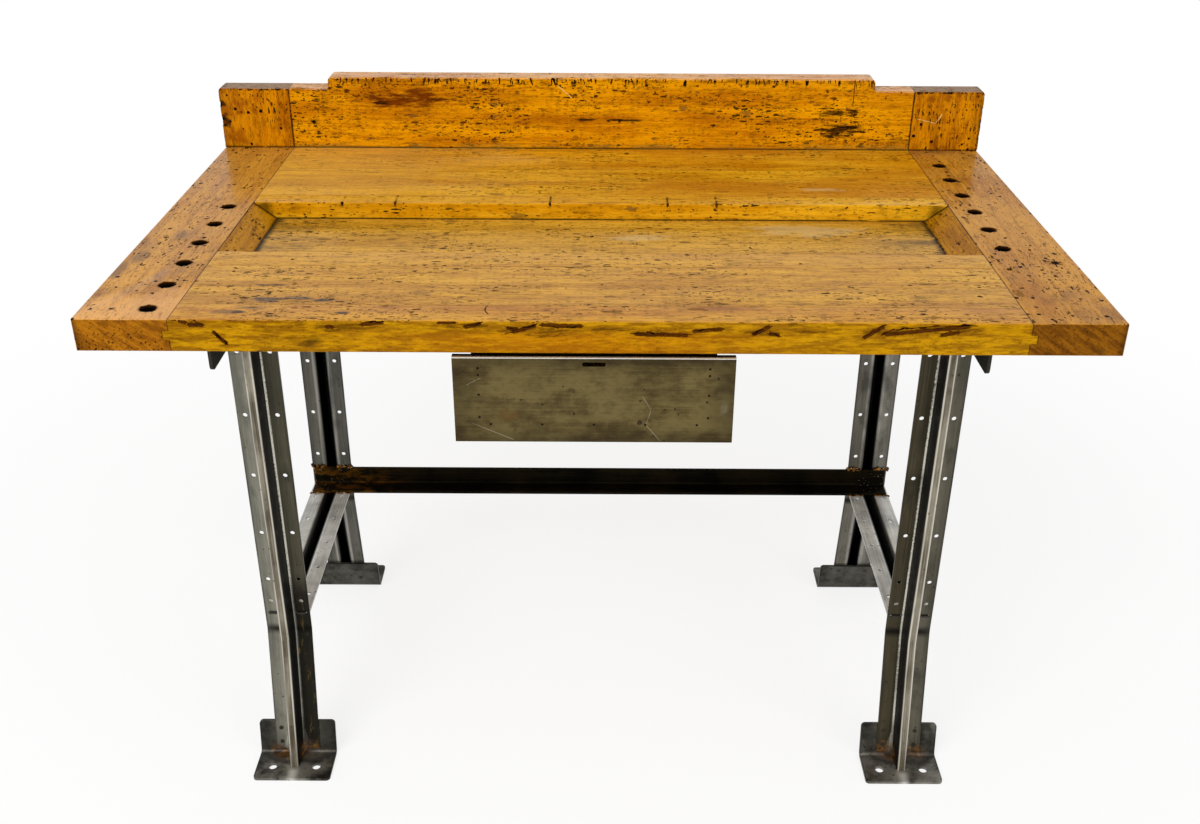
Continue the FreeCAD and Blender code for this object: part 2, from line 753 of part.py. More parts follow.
def back_screw_places():
    cleat_x = PANEL_HALF + CAP_WIDTH / 2
    return [step * BACK_SCREW_STEP for step in BACK_SCREW_STEPS] + [-cleat_x, cleat_x]


# Drawer and runners, made with the drawer's middle at x = 0


def drawer_front():
    """Folded front panel with a lip at top and bottom and a finger slot."""
    y0 = DRAWER_SETBACK
    low = PANEL_TOP - PANEL_HEIGHT
    line = [
        (y0 + PANEL_LIP, low, 0),
        (y0, low, PANEL_BEND_R),
        (y0, PANEL_TOP, PANEL_BEND_R),
        (y0 + PANEL_LIP, PANEL_TOP, 0),
    ]
    half = PANEL_WIDTH / 2
    panel = prism(sheet(line[::-1], PANEL_SHEET), "X", -half, half)
    slot_z = PANEL_TOP - FINGER_DROP
    slot = rectangle(
        -FINGER_WIDTH / 2,
        FINGER_WIDTH / 2,
        slot_z - FINGER_HEIGHT / 2,
        slot_z + FINGER_HEIGHT / 2,
        FINGER_END_R,
    )
    return panel.cut([prism(slot, "Y", y0 - 1, PANEL_BACK_Y + 1)] + pin_holes())


def drawer_tray():
    """Folded tray, open at the front where the panel closes it, hung by its side flanges."""
    half = TRAY_HALF
    line = [
        (-half - TRAY_FLANGE, TRAY_TOP, 0),
        (-half, TRAY_TOP, TRAY_BEND_R),
        (-half, TRAY_BOTTOM, TRAY_BEND_R),
        (half, TRAY_BOTTOM, TRAY_BEND_R),
        (half, TRAY_TOP, TRAY_BEND_R),
        (half + TRAY_FLANGE, TRAY_TOP, 0),
    ]
    trough = prism(sheet(line, TRAY_SHEET), "Y", PANEL_BACK_Y, TRAY_END_Y)
    inside = half - TRAY_SHEET
    flange_end = PANEL_BACK_Y + TRAY_SHEET
    back = box(-inside, inside, TRAY_END_Y - TRAY_SHEET, TRAY_END_Y, TRAY_BOTTOM + TRAY_SHEET, TRAY_TOP)
    low_top = TRAY_BOTTOM + TRAY_FRONT_FLANGE
    low_flange = box(-inside, inside, PANEL_BACK_Y, flange_end, TRAY_BOTTOM + TRAY_SHEET, low_top)
    side_top = TRAY_TOP - 2 * TRAY_BEND_R
    side_low = PANEL_TOP - PIN_COLUMN_DROPS[-1] - TRAY_FRONT_FLANGE / 2
    side_flange = box(half, half + TRAY_FLANGE, PANEL_BACK_Y, flange_end, side_low, side_top)
    tray = trough.fuse([back, low_flange, side_flange, mirrored(side_flange)]).removeSplitter()
    return tray.cut(pin_holes())


def pin_places():
    """Points on the panel's front face where its small rivets go."""
    places = []
    for drop in PIN_COLUMN_DROPS:
        for x in (-PIN_COLUMN_X, PIN_COLUMN_X):
            places.append(Vector(x, DRAWER_SETBACK, PANEL_TOP - drop))
    for step in PIN_ROW_STEPS:
        places.append(Vector(step * PIN_ROW_STEP, DRAWER_SETBACK, PIN_ROW_Z))
    return places


def pin_holes():
    ahead = Vector(0, 1, 0)
    length = PANEL_SHEET + TRAY_SHEET
    return [rod(PIN_R + FIT_GAP, at, ahead, length) for at in pin_places()]


def drawer_rivets():
    """Small flush rivets that join the panel to the tray."""
    ahead = Vector(0, 1, 0)
    length = PANEL_SHEET + TRAY_SHEET + 2 * PIN_PROUD
    return [rod(PIN_R, at - ahead * PIN_PROUD, ahead, length) for at in pin_places()]


def right_runner():
    """Folded runner under the top: its lip carries the tray's flange, and a tab stops the tray."""
    web = TRAY_HALF + TRAY_FLANGE + RUNNER_SIDE_GAP
    lip_top = TRAY_TOP - RUNNER_LIFT_GAP
    lip_low = lip_top - RUNNER_SHEET
    outside = web + RUNNER_SHEET
    line = [
        (outside - RUNNER_LIP, lip_low, 0),
        (outside, lip_low, RUNNER_BEND_R),
        (outside, TOP_BOTTOM - RUNNER_SHEET, RUNNER_BEND_R),
        (outside + RUNNER_FLANGE, TOP_BOTTOM - RUNNER_SHEET, 0),
    ]
    y0 = PANEL_BACK_Y + PANEL_LIP + RUNNER_FRONT_GAP
    y1 = TRAY_END_Y + STOP_GAP + RUNNER_SHEET
    body = prism(sheet(line, RUNNER_SHEET), "Y", y0, y1)
    stop = box(outside - RUNNER_LIP, web, y1 - RUNNER_SHEET, y1, lip_top, TRAY_TOP + RUNNER_LIP / 2)
    return body.fuse(stop).removeSplitter().cut(runner_screw_holes())


def runner_screw_places():
    x = TRAY_HALF + TRAY_FLANGE + RUNNER_SIDE_GAP + RUNNER_SHEET + RUNNER_FLANGE / 2
    return [Vector(x, y, TOP_BOTTOM - RUNNER_SHEET) for y in RUNNER_SCREW_POSITIONS]


def runner_screw_holes():
    up = Vector(0, 0, 1)
    length = RUNNER_SCREW_LENGTH + FIT_GAP
    return [rod(RUNNER_SCREW_R + FIT_GAP, at, up, length) for at in runner_screw_places()]


def right_runner_screws():
    up = Vector(0, 0, 1)
    screws = []
    for at in runner_screw_places():
        head = rod(RUNNER_SCREW_HEAD_R, at, up * -1, RUNNER_SCREW_HEAD_HEIGHT)
        shank = rod(RUNNER_SCREW_R, at, up, RUNNER_SCREW_LENGTH)
        screws.append(shank.fuse(head))
    return screws


def beside_drawer(shape):
    """A drawer piece moved to the drawer's own middle line."""
    moved = shape.copy()
    moved.translate(Vector(DRAWER_X, 0, 0))
    return moved


def both_sides(shapes):
    return shapes + [mirrored(shape) for shape in shapes]


def drill(pieces, cutters):
    """Cut holes in those pieces that they reach."""
    for name in pieces:
        reached = [cutter for cutter in cutters if cutter.BoundBox.intersect(pieces[name].BoundBox)]
        if reached:
            pieces[name] = pieces[name].cut(reached)


def wooden_pieces():
    pieces = front_boards()
    pieces.update(rear_boards())
    pieces["well_floor"] = well_floor()
    pieces["right_well_ramp"] = right_ramp()
    pieces["left_well_ramp"] = mirrored(right_ramp())
    pieces.update(end_caps())
    pieces["backboard"] = backboard()
    pieces["right_backboard_cleat"] = right_cleat()
    pieces["left_backboard_cleat"] = mirrored(right_cleat())
    drill(pieces, [back_screw(x, FIT_GAP) for x in back_screw_places()])
    drill(pieces, both_sides(lag_holes()))
    drill(pieces, [beside_drawer(hole) for hole in both_sides(runner_screw_holes())])
    return pieces


def steel_frame():
    pieces = at_four_corners(pressed_leg(), "leg")
    pieces.update(at_four_corners(foot(), "foot"))
    rivets = [at_four_corners(rivet, "rivet").values() for rivet in foot_rivets()]
    pieces["foot_rivets"] = Part.makeCompound([rivet for corner in rivets for rivet in corner])
    pieces["right_side_stretcher"] = right_side_stretcher()
    pieces["left_side_stretcher"] = mirrored(right_side_stretcher())
    pieces["back_stretcher"] = back_stretcher()
    pieces["right_top_rail"] = right_top_rail()
    pieces["left_top_rail"] = mirrored(right_top_rail())
    pieces["rail_lag_screws"] = Part.makeCompound(both_sides(right_lag_screws()))
    pieces["weld_beads"] = Part.makeCompound(both_sides(right_weld_beads()))
    return pieces


def drawer_pieces():
    pieces = {
        "drawer_front": drawer_front(),
        "drawer_tray": drawer_tray(),
        "drawer_rivets": Part.makeCompound(drawer_rivets()),
        "right_drawer_runner": right_runner(),
        "left_drawer_runner": mirrored(right_runner()),
        "runner_screws": Part.makeCompound(both_sides(right_runner_screws())),
    }
    return {name: beside_drawer(shape) for name, shape in pieces.items()}


def save(name, shape):
    moved = shape.copy()
    moved.translate(Vector(0, -BENCH_MIDDLE_Y, 0))
    moved.exportStep(os.path.join("parts", f"{name}.step"))


def main():
    os.makedirs("parts", exist_ok=True)
    pieces = wooden_pieces()
    pieces.update(steel_frame())
    pieces.update(drawer_pieces())
    pieces["backboard_screws"] = Part.makeCompound([back_screw(x, 0) for x in back_screw_places()])
    for name, shape in pieces.items():
        save(name, shape)


main()
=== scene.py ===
import json
import math
import random
from functools import partial

import bmesh
import bpy
from mathutils import Matrix, Vector


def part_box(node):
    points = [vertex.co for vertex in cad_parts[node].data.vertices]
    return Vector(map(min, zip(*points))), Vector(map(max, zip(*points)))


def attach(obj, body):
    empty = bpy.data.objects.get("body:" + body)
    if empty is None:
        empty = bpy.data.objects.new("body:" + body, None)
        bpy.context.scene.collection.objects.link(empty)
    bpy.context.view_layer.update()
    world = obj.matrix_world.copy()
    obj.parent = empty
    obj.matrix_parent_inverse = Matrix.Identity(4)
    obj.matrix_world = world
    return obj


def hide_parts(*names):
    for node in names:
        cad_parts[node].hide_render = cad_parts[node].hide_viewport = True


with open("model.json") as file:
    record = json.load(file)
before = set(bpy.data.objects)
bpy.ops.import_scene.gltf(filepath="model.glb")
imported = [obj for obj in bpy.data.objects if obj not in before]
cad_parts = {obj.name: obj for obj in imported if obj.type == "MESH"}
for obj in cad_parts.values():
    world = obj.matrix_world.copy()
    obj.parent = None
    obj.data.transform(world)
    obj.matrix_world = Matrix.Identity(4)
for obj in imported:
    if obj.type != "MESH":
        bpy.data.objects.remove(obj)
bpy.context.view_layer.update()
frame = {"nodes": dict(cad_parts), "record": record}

# Lengths are metres in the bench's own frame: X right, Y back, Z up, origin on the floor.

# Camera at the photograph's viewing angle
CAMERA_PLACE = Vector((0.0024, -2.1471, 1.6141))
CAMERA_PITCH = math.radians(27.83)
CAMERA_YAW = math.radians(0.053)
CAMERA_ROLL = math.radians(0.272)
CAMERA_LENS = 38.73
CAMERA_SENSOR = 36.0

# Studio
FLOOR_HALF = 40.0
FLOOR_COLOUR = (0.93, 0.93, 0.93, 1.0)
FLOOR_GLOW_NEAR = 0.78
FLOOR_GLOW_START = 0.9
FLOOR_GLOW_FULL = 2.4
WHITE = (1.0, 1.0, 1.0, 1.0)
AMBIENT = 0.66
KEY_PLACE = (-2.2, -3.4, 3.6)
KEY_SIZE = 3.0
KEY_POWER = 125.0
FILL_PLACE = (2.8, -3.0, 2.2)
FILL_SIZE = 2.5
FILL_POWER = 42.0
LIGHT_TARGET = (0.0, 0.0, 0.7)

# Places on the bench, read from its pieces
TOP_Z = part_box("front_board_1")[1].z
FRONT_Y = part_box("front_board_1")[0].y
CAP_JOINT_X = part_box("right_end_cap")[0].x
TOP_END_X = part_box("right_end_cap")[1].x
BACK_FACE_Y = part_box("backboard")[0].y
BACK_CREST_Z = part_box("backboard")[1].z
WELL_FRONT_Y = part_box("front_board_4")[1].y
WELL_BACK_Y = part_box("rear_strip")[0].y
WELL_FLOOR_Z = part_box("left_well_ramp")[0].z
MOUNTS = {mount["name"]: mount for mount in frame["record"]["mounts"]}
DOG_HOLE_R = MOUNTS["left_dog_hole_1"]["dims"]["r_mm"] / 1000
DOG_HOLE_PITCH = MOUNTS["left_dog_hole_2"]["pos_m"][1] - MOUNTS["left_dog_hole_1"]["pos_m"][1]
DOG_HOLE_COUNT = 6

# The new pieces, under the names of the CAD pieces that they stand for
STANDS_FOR = {}

# Meshes: corners nearer than this are one, before a cut and after it; sharper folds stay edges
SAME_CORNER = 0.00001
SAME_PLACE = 0.000001
SHARP_ANGLE = math.radians(34)

# The backboard's raised middle, its chamfer and its lower shoulders
CREST_HALF = 0.543
BACK_ARRIS = 0.0025
SHOULDER_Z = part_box("left_backboard_cleat")[1].z

# Sizes along X, Y and Z of the chips that wear leaves
CREST_KNOCK = (0.0044, 0.0070, 0.028)
BACK_CHIP = (0.012, 0.005, 0.006)
FOOT_SPLINTER = (0.016, 0.003, 0.003)
JOINT_CHIP = (0.0045, 0.004, 0.010)
SHOULDER_CHIP = (0.005, 0.004, 0.008)
CORNER_CHIP = (0.006, 0.006, 0.012)
CAP_SPLINTER = (0.005, 0.020, 0.005)
RIM_CHIP = (0.006, 0.006, 0.003)
WELL_NICK = (0.006, 0.010, 0.012)

# An old hole and a saw kerf in the backboard
OLD_HOLE = (-0.5776, 0.9156)
OLD_HOLE_R = 0.0036
KERF_X = 0.5018
KERF_FOOT_Z = 0.9530

# Torn places on the front edge, nicks over the well, and pits and a gash in the end caps
FRONT_TEARS = (
    ((-0.606, 0.8626), (-0.594, 0.8585)),
    ((-0.593, 0.8559), (-0.584, 0.8622), (-0.570, 0.8550)),
    ((-0.559, 0.8464), (-0.539, 0.8246)),
    ((-0.395, 0.8539), (-0.383, 0.8524)),
    ((-0.345, 0.8573), (-0.337, 0.8615), (-0.310, 0.8618)),
    ((-0.234, 0.8615), (-0.206, 0.8615)),
    ((-0.196, 0.8539), (-0.187, 0.8566), (-0.170, 0.8609)),
    ((-0.135, 0.8543), (-0.113, 0.8492)),
    ((-0.127, 0.8465), (-0.110, 0.8534), (-0.091, 0.8577)),
    ((-0.086, 0.8587), (-0.062, 0.8547), (-0.043, 0.8548), (-0.024, 0.8565)),
    ((0.048, 0.8448), (0.070, 0.8481), (0.084, 0.8434), (0.130, 0.8432)),
    ((0.132, 0.8495), (0.159, 0.8523), (0.178, 0.8534)),
    ((0.219, 0.8437), (0.228, 0.8500), (0.246, 0.8590)),
    ((0.243, 0.8464), (0.260, 0.8439)),
    ((0.379, 0.8393), (0.394, 0.8525), (0.410, 0.8594)),
    ((0.406, 0.8452), (0.422, 0.8527), (0.443, 0.8562), (0.486, 0.8588), (0.539, 0.8601)),
    ((0.490, 0.8447), (0.502, 0.8505), (0.519, 0.8501)),
)
TEAR_STEP = 0.009
WELL_NICKS = (-0.464, -0.369, -0.091, 0.120, 0.208)
GASH = (0.7275, -0.2068)
GASH_ARMS = 7
CAP_PITS = {
    "left": ((-0.745, -0.395), (-0.727, -0.232), (-0.700, -0.118), (-0.741, 0.012), (-0.733, 0.205)),
    "right": (
        (0.7044, -0.1487),
        (0.6975, -0.2375),
        (0.7319, -0.2284),
        (0.7103, -0.2627),
        (0.6448, -0.2339),
    ),
}

# The leg's hat section, as distances from its middle line, and the bend in it
LEG_CREST = 0.0075
LEG_ROOT = 0.0100
LEG_EDGE = 0.0381
LEG_BEND_Z = 0.245
LEG_FLARE_Z = 0.060
LEG_KICK = math.tan(math.radians(10.4))

# Welds: how far they stay from a rib's root, and how fine their blended surface is
WELD_GAP = 0.004
WELD_GRAIN = 0.0008

# The feet: half of their width, and how far the bend lies in front of the upstand's top
FOOT_HALF = 0.0665
FOOT_BEND_BACK = 0.016

# The tongues that show in the end joints, as distances from the joint and from the top
TONGUE_LENGTH = 0.0095
TONGUE_TOP_DROP = 0.01825
TONGUE_FOOT_DROP = 0.03255


def srgb(red, green, blue):
    """A colour given from 0 to 255 as it looks on a screen, as the shader's own numbers."""
    return tuple((value / 255) ** 2.2 for value in (red, green, blue)) + (1.0,)


def shaded(colour, amount):
    """The same colour, lighter or darker."""
    return tuple(amount * value for value in colour[:3]) + (1.0,)


# Colours that several finishes share
BRUISE = srgb(34, 22, 10)
SOOT = srgb(12, 10, 7)
CHAR = srgb(70, 44, 12)
RAW_WOOD = srgb(208, 154, 74)


class Wire:
    """One output socket of a material. Arithmetic on it adds Math nodes beside it."""

    def __init__(self, tree, socket=None):
        self.tree = tree
        self.socket = socket

    def node(self, kind, settings=None, sockets=None, output=0):
        """Any other node: its settings are made first, then its sockets' values or links."""
        made = self.tree.nodes.new("ShaderNode" + kind)
        for name, value in (settings or {}).items():
            setattr(made, name, value)
        for name, value in (sockets or {}).items():
            if isinstance(value, Wire):
                self.tree.links.new(value.socket, made.inputs[name])
            else:
                made.inputs[name].default_value = value
        return Wire(self.tree, made.outputs[output] if made.outputs else None)

    def also(self, output):
        """Another output of the same node."""
        return Wire(self.tree, self.socket.node.outputs[output])

    def maths(self, operation, *values):
        return self.node("Math", {"operation": operation}, dict(enumerate(values)))

    def __add__(self, other):
        return self.maths("ADD", self, other)

    def __sub__(self, other):
        return self.maths("SUBTRACT", self, other)

    def __rsub__(self, other):
        return self.maths("SUBTRACT", other, self)

    def __mul__(self, other):
        return self.maths("MULTIPLY", self, other)

    def __truediv__(self, other):
        return self.maths("DIVIDE", self, other)

    def __pow__(self, other):
        return self.maths("POWER", self, other)

    def __abs__(self):
        return self.maths("ABSOLUTE", self)

    __radd__ = __add__
    __rmul__ = __mul__


# Patterns


def smooth(value, low, high):
    """0 at low and 1 at high, eased between them. Low may be the larger."""
    eased = {"interpolation_type": "SMOOTHSTEP"}
    return value.node("MapRange", eased, {"Value": value, "From Min": low, "From Max": high})


def most(first, *others):
    for other in others:
        first = first.maths("MAXIMUM", first, other)
    return first


def mix(factor, first, second, blend="MIX"):
    """The first colour turning into the second as factor goes from 0 to 1."""
    settings = {"data_type": "RGBA", "blend_type": blend}
    return factor.node("Mix", settings, {0: factor, 6: first, 7: second}, output=2)


def split(vector):
    x = vector.node("SeparateXYZ", sockets={0: vector}, output=0)
    return x, x.also(1), x.also(2)


def stretched(place, scale, seed):
    """The place times a scale for each axis, moved by an amount that the seed gives."""
    shift = (seed * 1.73, seed * 2.39, seed * 3.11)
    return place.node("VectorMath", {"operation": "MULTIPLY_ADD"}, {0: place, 1: scale, 2: shift})


def noise(place, detail=2.0, roughness=0.5):
    sockets = {"Vector": place, "Scale": 1.0, "Detail": detail, "Roughness": roughness}
    return place.node("TexNoise", sockets=sockets)


def bent(place, scale, push, seed):
    """The place pushed about by noise of a given scale, so that lines through it curve."""
    sockets = {"Vector": stretched(place, scale, seed), "Scale": 1.0, "Detail": 2.0}
    away = place.node("TexNoise", sockets=sockets, output=1)
    return place.node("VectorMath", {"operation": "MULTIPLY_ADD"}, {0: away, 1: push, 2: place})


def near(coordinate, at, width):
    """1 where the coordinate is at the given value, fading out over a width."""
    return smooth(abs(coordinate - at), width, 0.0)


def distance(u, v):
    return (u * u + v * v) ** 0.5


def spots(place, share, size, soft=0.06, push=0.9):
    """Spots of uneven size, in a share of the cells of a scaled place. Push makes them ragged."""
    uneven = bent(place, (1.9,) * 3, (push,) * 3, 0.0)
    away = place.node("TexVoronoi", sockets={"Vector": uneven, "Scale": 1.0})
    chance = place.node("SeparateColor", sockets={0: away.also("Color")})
    reach = smooth(chance, 1.0 - share, 1.0) * size
    return smooth(reach - away, 0.0, soft)


def hooks(place, scale, seed, share):
    """Short, thin, curved lines such as tools leave."""
    thread = smooth(abs(noise(stretched(place, scale, seed), detail=1.0) - 0.5), 0.016, 0.004)
    coarse = tuple(0.55 * value for value in scale)
    broken = noise(stretched(place, coarse, seed + 4.0), detail=2.0)
    return thread * smooth(broken, 0.74 - share, 0.80 - share)


def blot(u, v, place, reach, ragged):
    """A stain with a torn edge, at a place on the face whose coordinates are u and v."""
    du = (u - place[0]) * (1.0 / reach[0])
    dv = (v - place[1]) * (1.0 / reach[1])
    return smooth(distance(du, dv) + (ragged - 0.5) * 2.6, 1.0, 0.35)


def blots(u, v, places, ragged):
    """Several stains, each given as its place and its reach along u and v."""
    return most(*[blot(u, v, place, reach, ragged) for place, reach in places])


def stroke(u, v, start, end, width):
    """A straight line from start to end on the face whose coordinates are u and v."""
    run = (end[0] - start[0], end[1] - start[1])
    length = math.hypot(*run)
    along = ((u - start[0]) * (run[0] / length) + (v - start[1]) * (run[1] / length)) * (1.0 / length)
    aside = (u - start[0]) * (run[1] / length) - (v - start[1]) * (run[0] / length)
    within = smooth(abs(along - 0.5), 0.52, 0.42)
    return smooth(abs(aside), width, 0.3 * width) * within


def line(u, v, points, width):
    """Straight lines through several points, one after the other."""
    return most(*[stroke(u, v, begin, end, width) for begin, end in zip(points, points[1:])])


# Materials


def new_material(name):
    material = bpy.data.materials.new(name)
    material.use_nodes = True
    material.node_tree.nodes.clear()
    return material, Wire(material.node_tree)


def finish_surface(start, sockets):
    """The material's one surface shader, with these sockets."""
    shader = start.node("BsdfPrincipled", sockets=sockets)
    start.node("OutputMaterial", sockets={"Surface": shader})


def bump(height, depth):
    return height.node("Bump", sockets={"Height": height, "Strength": 1.0, "Distance": depth})


def paint(node, material):
    """Gives a CAD piece its finish, and the piece that stands for it too."""
    for slot in frame["nodes"][node].material_slots:
        slot.material = material
    if node in STANDS_FOR:
        STANDS_FOR[node].data.materials[0] = material


# Worn wood and welds


def solid(shape, name):
    """A new object with the corners and faces of a bmesh."""
    shape.verts.index_update()
    mesh = bpy.data.meshes.new(name)
    faces = [[vert.index for vert in face.verts] for face in shape.faces]
    mesh.from_pydata([vert.co for vert in shape.verts], [], faces)
    shape.free()
    piece = bpy.data.objects.new(name, mesh)
    bpy.context.scene.collection.objects.link(piece)
    return piece


def close_slivers(mesh):
    """Merges corners that a cut left in one place, and deletes the flat scraps between them."""
    shape = bmesh.new()
    shape.from_mesh(mesh)
    bmesh.ops.remove_doubles(shape, verts=shape.verts, dist=SAME_PLACE)
    bmesh.ops.triangulate(shape, faces=shape.faces)
    scraps = True
    while scraps:
        on_corners = {}
        for face in shape.faces:
            on_corners.setdefault(frozenset(face.verts), []).append(face)
        scraps = [face for same in on_corners.values() if len(same) > 1 for face in same]
        scraps += [face for face in shape.faces if any(edge.is_boundary for edge in face.edges)]
        bmesh.ops.delete(shape, geom=list(dict.fromkeys(scraps)), context="FACES")
    shape.to_mesh(mesh)
    shape.free()


def settle(piece):
    """Puts what the modifiers make into the piece's own mesh, smooth between sharp edges."""
    seen = piece.evaluated_get(bpy.context.evaluated_depsgraph_get())
    mesh = bpy.data.meshes.new_from_object(seen)
    piece.modifiers.clear()
    piece.data = mesh
    close_slivers(mesh)
    mesh.shade_smooth()
    mesh.set_sharp_from_angle(angle=SHARP_ANGLE)


def stand_for(piece, node):
    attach(piece, "bench")
    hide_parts(node)
    STANDS_FOR[node] = piece


def ragged_lump(shape, draw, matrix):
    """Adds an uneven ball, one metre across before the matrix places it."""
    lump = bmesh.ops.create_icosphere(shape, subdivisions=2, radius=0.5)["verts"]
    for vert in lump:
        vert.co *= draw.uniform(0.65, 1.1)
    bmesh.ops.transform(shape, matrix=matrix, verts=lump)


class Wear:
    """Chips and gouges to cut out of a copy of one wooden piece."""

    def __init__(self, node):
        self.node = node
        self.low, self.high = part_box(node)
        self.draw = random.Random(node + "_wear")
        self.chips = bmesh.new()

    def chip(self, place, size, turn=0.0, axis="Y"):
        """One chip: its middle, its size along X, Y and Z, and how far it turns about an axis."""
        stand = Matrix.Translation(place) @ Matrix.Rotation(turn, 4, axis)
        ragged_lump(self.chips, self.draw, stand @ Matrix.Diagonal((*size, 1.0)))

    def along(self, begin, end, count, size, lean=0.3):
        """Chips along an edge, most of them small."""
        for _ in range(count):
            place = Vector(begin).lerp(Vector(end), self.draw.random())
            grown = 0.35 + 0.65 * self.draw.random() ** 2
            chip_size = [grown * self.draw.uniform(0.7, 1.3) * length for length in size]
            self.chip(place, chip_size, self.draw.uniform(-lean, lean))

    def groove(self, begin, end, face_y):
        """A ragged groove in an upright face, between two places given by X and Z."""
        run = Vector(end) - Vector(begin)
        count = math.ceil(run.length / TEAR_STEP)
        turn = -math.atan2(run.y, run.x)
        for step in range(count):
            x, z = Vector(begin) + run * ((step + 0.5) / count)
            wide = self.draw.uniform(0.0010, 0.0042)
            place = (x, face_y, z + self.draw.gauss(0.0, 0.0006))
            self.chip(place, (1.9 * run.length / count, 0.006, wide), turn + self.draw.gauss(0.0, 0.16))

    def cut(self, torn):
        """Makes the worn copy, with the torn finish inside its chips."""
        whole = bmesh.new()
        whole.from_mesh(frame["nodes"][self.node].data)
        bmesh.ops.remove_doubles(whole, verts=whole.verts, dist=SAME_CORNER)
        piece = solid(whole, "worn_" + self.node)
        piece.data.materials.append(frame["nodes"][self.node].data.materials[0])
        chips = solid(self.chips, "chips")
        chips.data.materials.append(torn)
        boolean = piece.modifiers.new("wear", "BOOLEAN")
        boolean.object = chips
        boolean.use_self = True
        boolean.material_mode = "TRANSFER"
        settle(piece)
        bpy.data.objects.remove(chips)
        stand_for(piece, self.node)


def torn_maple():
    """Dirty broken fibres, for the insides of chips."""
    material, start = new_material("torn_maple")
    place = start.node("TexCoord", output="Object")
    fibres = noise(stretched(place, (120.0, 500.0, 500.0), 81.0), detail=3.0)
    clouds = noise(stretched(place, (60.0, 60.0, 60.0), 83.0), detail=3.0)
    colour = mix(smooth(clouds, 0.40, 0.60), srgb(30, 16, 3), srgb(98, 54, 6))
    colour = mix(smooth(fibres, 0.62, 0.72) * 0.4, colour, srgb(176, 118, 44))
    sockets = {"Base Color": colour, "Roughness": 0.7 + fibres * 0.2, "Specular IOR Level": 0.03}
    finish_surface(start, {**sockets, "Normal": bump(fibres, 0.0005)})
    return material


def wear_backboard(torn):
    """Knocked edges and joints, a saw kerf from the crest and an old hole."""
    wear = Wear("backboard")
    front, back, foot, crest = wear.low.y, wear.high.y, wear.low.z, wear.high.z
    arris = crest - BACK_ARRIS
    wear.along((-CREST_HALF, front, arris), (CREST_HALF, front, arris), 64, CREST_KNOCK, 0.5)
    wear.along((-CREST_HALF, back, arris), (CREST_HALF, back, arris), 18, BACK_CHIP)
    wear.along((-CAP_JOINT_X, front, foot), (CAP_JOINT_X, front, foot), 44, FOOT_SPLINTER, 0.0)
    for side in (-1, 1):
        joint = side * CAP_JOINT_X
        step = side * CREST_HALF
        wear.along((joint, front, SHOULDER_Z), (step, front, SHOULDER_Z), 5, SHOULDER_CHIP)
        wear.along((joint, front, foot), (joint, front, SHOULDER_Z), 12, JOINT_CHIP)
        wear.along((step, front, crest), (step, back, crest), 5, (0.008, 0.012, 0.006))
    for drop in (0.0, 0.013, 0.026, 0.039):
        wear.chip((KERF_X, front, crest - drop - 0.006), (0.0016, 0.007, 0.020))
    hole = 2 * OLD_HOLE_R
    wear.chip((OLD_HOLE[0], front, OLD_HOLE[1]), (1.3 * hole, 3 * hole, 1.2 * hole))
    wear.cut(torn)


def wear_cleat(hand, torn):
    """Knocked corners and edges, with two big chips out of the left one's outer edge."""
    wear = Wear(f"{hand}_backboard_cleat")
    side = -1 if hand == "left" else 1
    front, back, foot, crown = wear.low.y, wear.high.y, wear.low.z, wear.high.z
    end = side * TOP_END_X
    joint = side * CAP_JOINT_X
    arris = crown - BACK_ARRIS
    for y in (front, back):
        wear.along((end, y, foot), (end, y, crown), 14, CORNER_CHIP)
        wear.along((end, y, arris), (joint, y, arris), 14, BACK_CHIP)
        wear.chip((end, y, crown), (0.013, 0.013, 0.013))
    wear.along((end, front, crown), (end, back, crown), 6, (0.007, 0.012, 0.006))
    wear.along((joint, front, foot), (joint, front, crown), 12, JOINT_CHIP)
    wear.along((joint, front, foot), (end, front, foot), 8, FOOT_SPLINTER, 0.0)
    if hand == "left":
        wear.chip((-0.759, front, 0.917), (0.013, 0.012, 0.028))
        wear.chip((-0.760, front, 0.952), (0.009, 0.010, 0.013))
    wear.cut(torn)


def wear_front_board(torn):
    """Splinters off the front's upper and lower edges, and torn places between them."""
    wear = Wear("front_board_1")
    foot = wear.low.z
    upper = (0.016, 0.0035, 0.0035)
    lower = (0.012, 0.004, 0.004)
    wear.along((-CAP_JOINT_X, FRONT_Y, TOP_Z), (CAP_JOINT_X, FRONT_Y, TOP_Z), 46, upper, 0.05)
    wear.along((-CAP_JOINT_X, FRONT_Y, foot), (CAP_JOINT_X, FRONT_Y, foot), 20, lower)
    for tear in FRONT_TEARS:
        for begin, end in zip(tear, tear[1:]):
            wear.groove(begin, end, FRONT_Y)
    wear.cut(torn)


def wear_well_edges(torn):
    """Splinters off the two boards beside the well, and nicks in the rear one."""
    front = Wear("front_board_4")
    splinter = (0.018, 0.004, 0.0035)
    front.along((-0.58, WELL_FRONT_Y, TOP_Z), (0.58, WELL_FRONT_Y, TOP_Z), 34, splinter, 0.05)
    front.cut(torn)
    rear = Wear("rear_strip")
    splinter = (0.010, 0.004, 0.004)
    rear.along((-0.60, WELL_BACK_Y, TOP_Z), (0.60, WELL_BACK_Y, TOP_Z), 18, splinter, 0.1)
    for x in WELL_NICKS:
        rear.chip((x, WELL_BACK_Y, TOP_Z), WELL_NICK)
    rear.cut(torn)


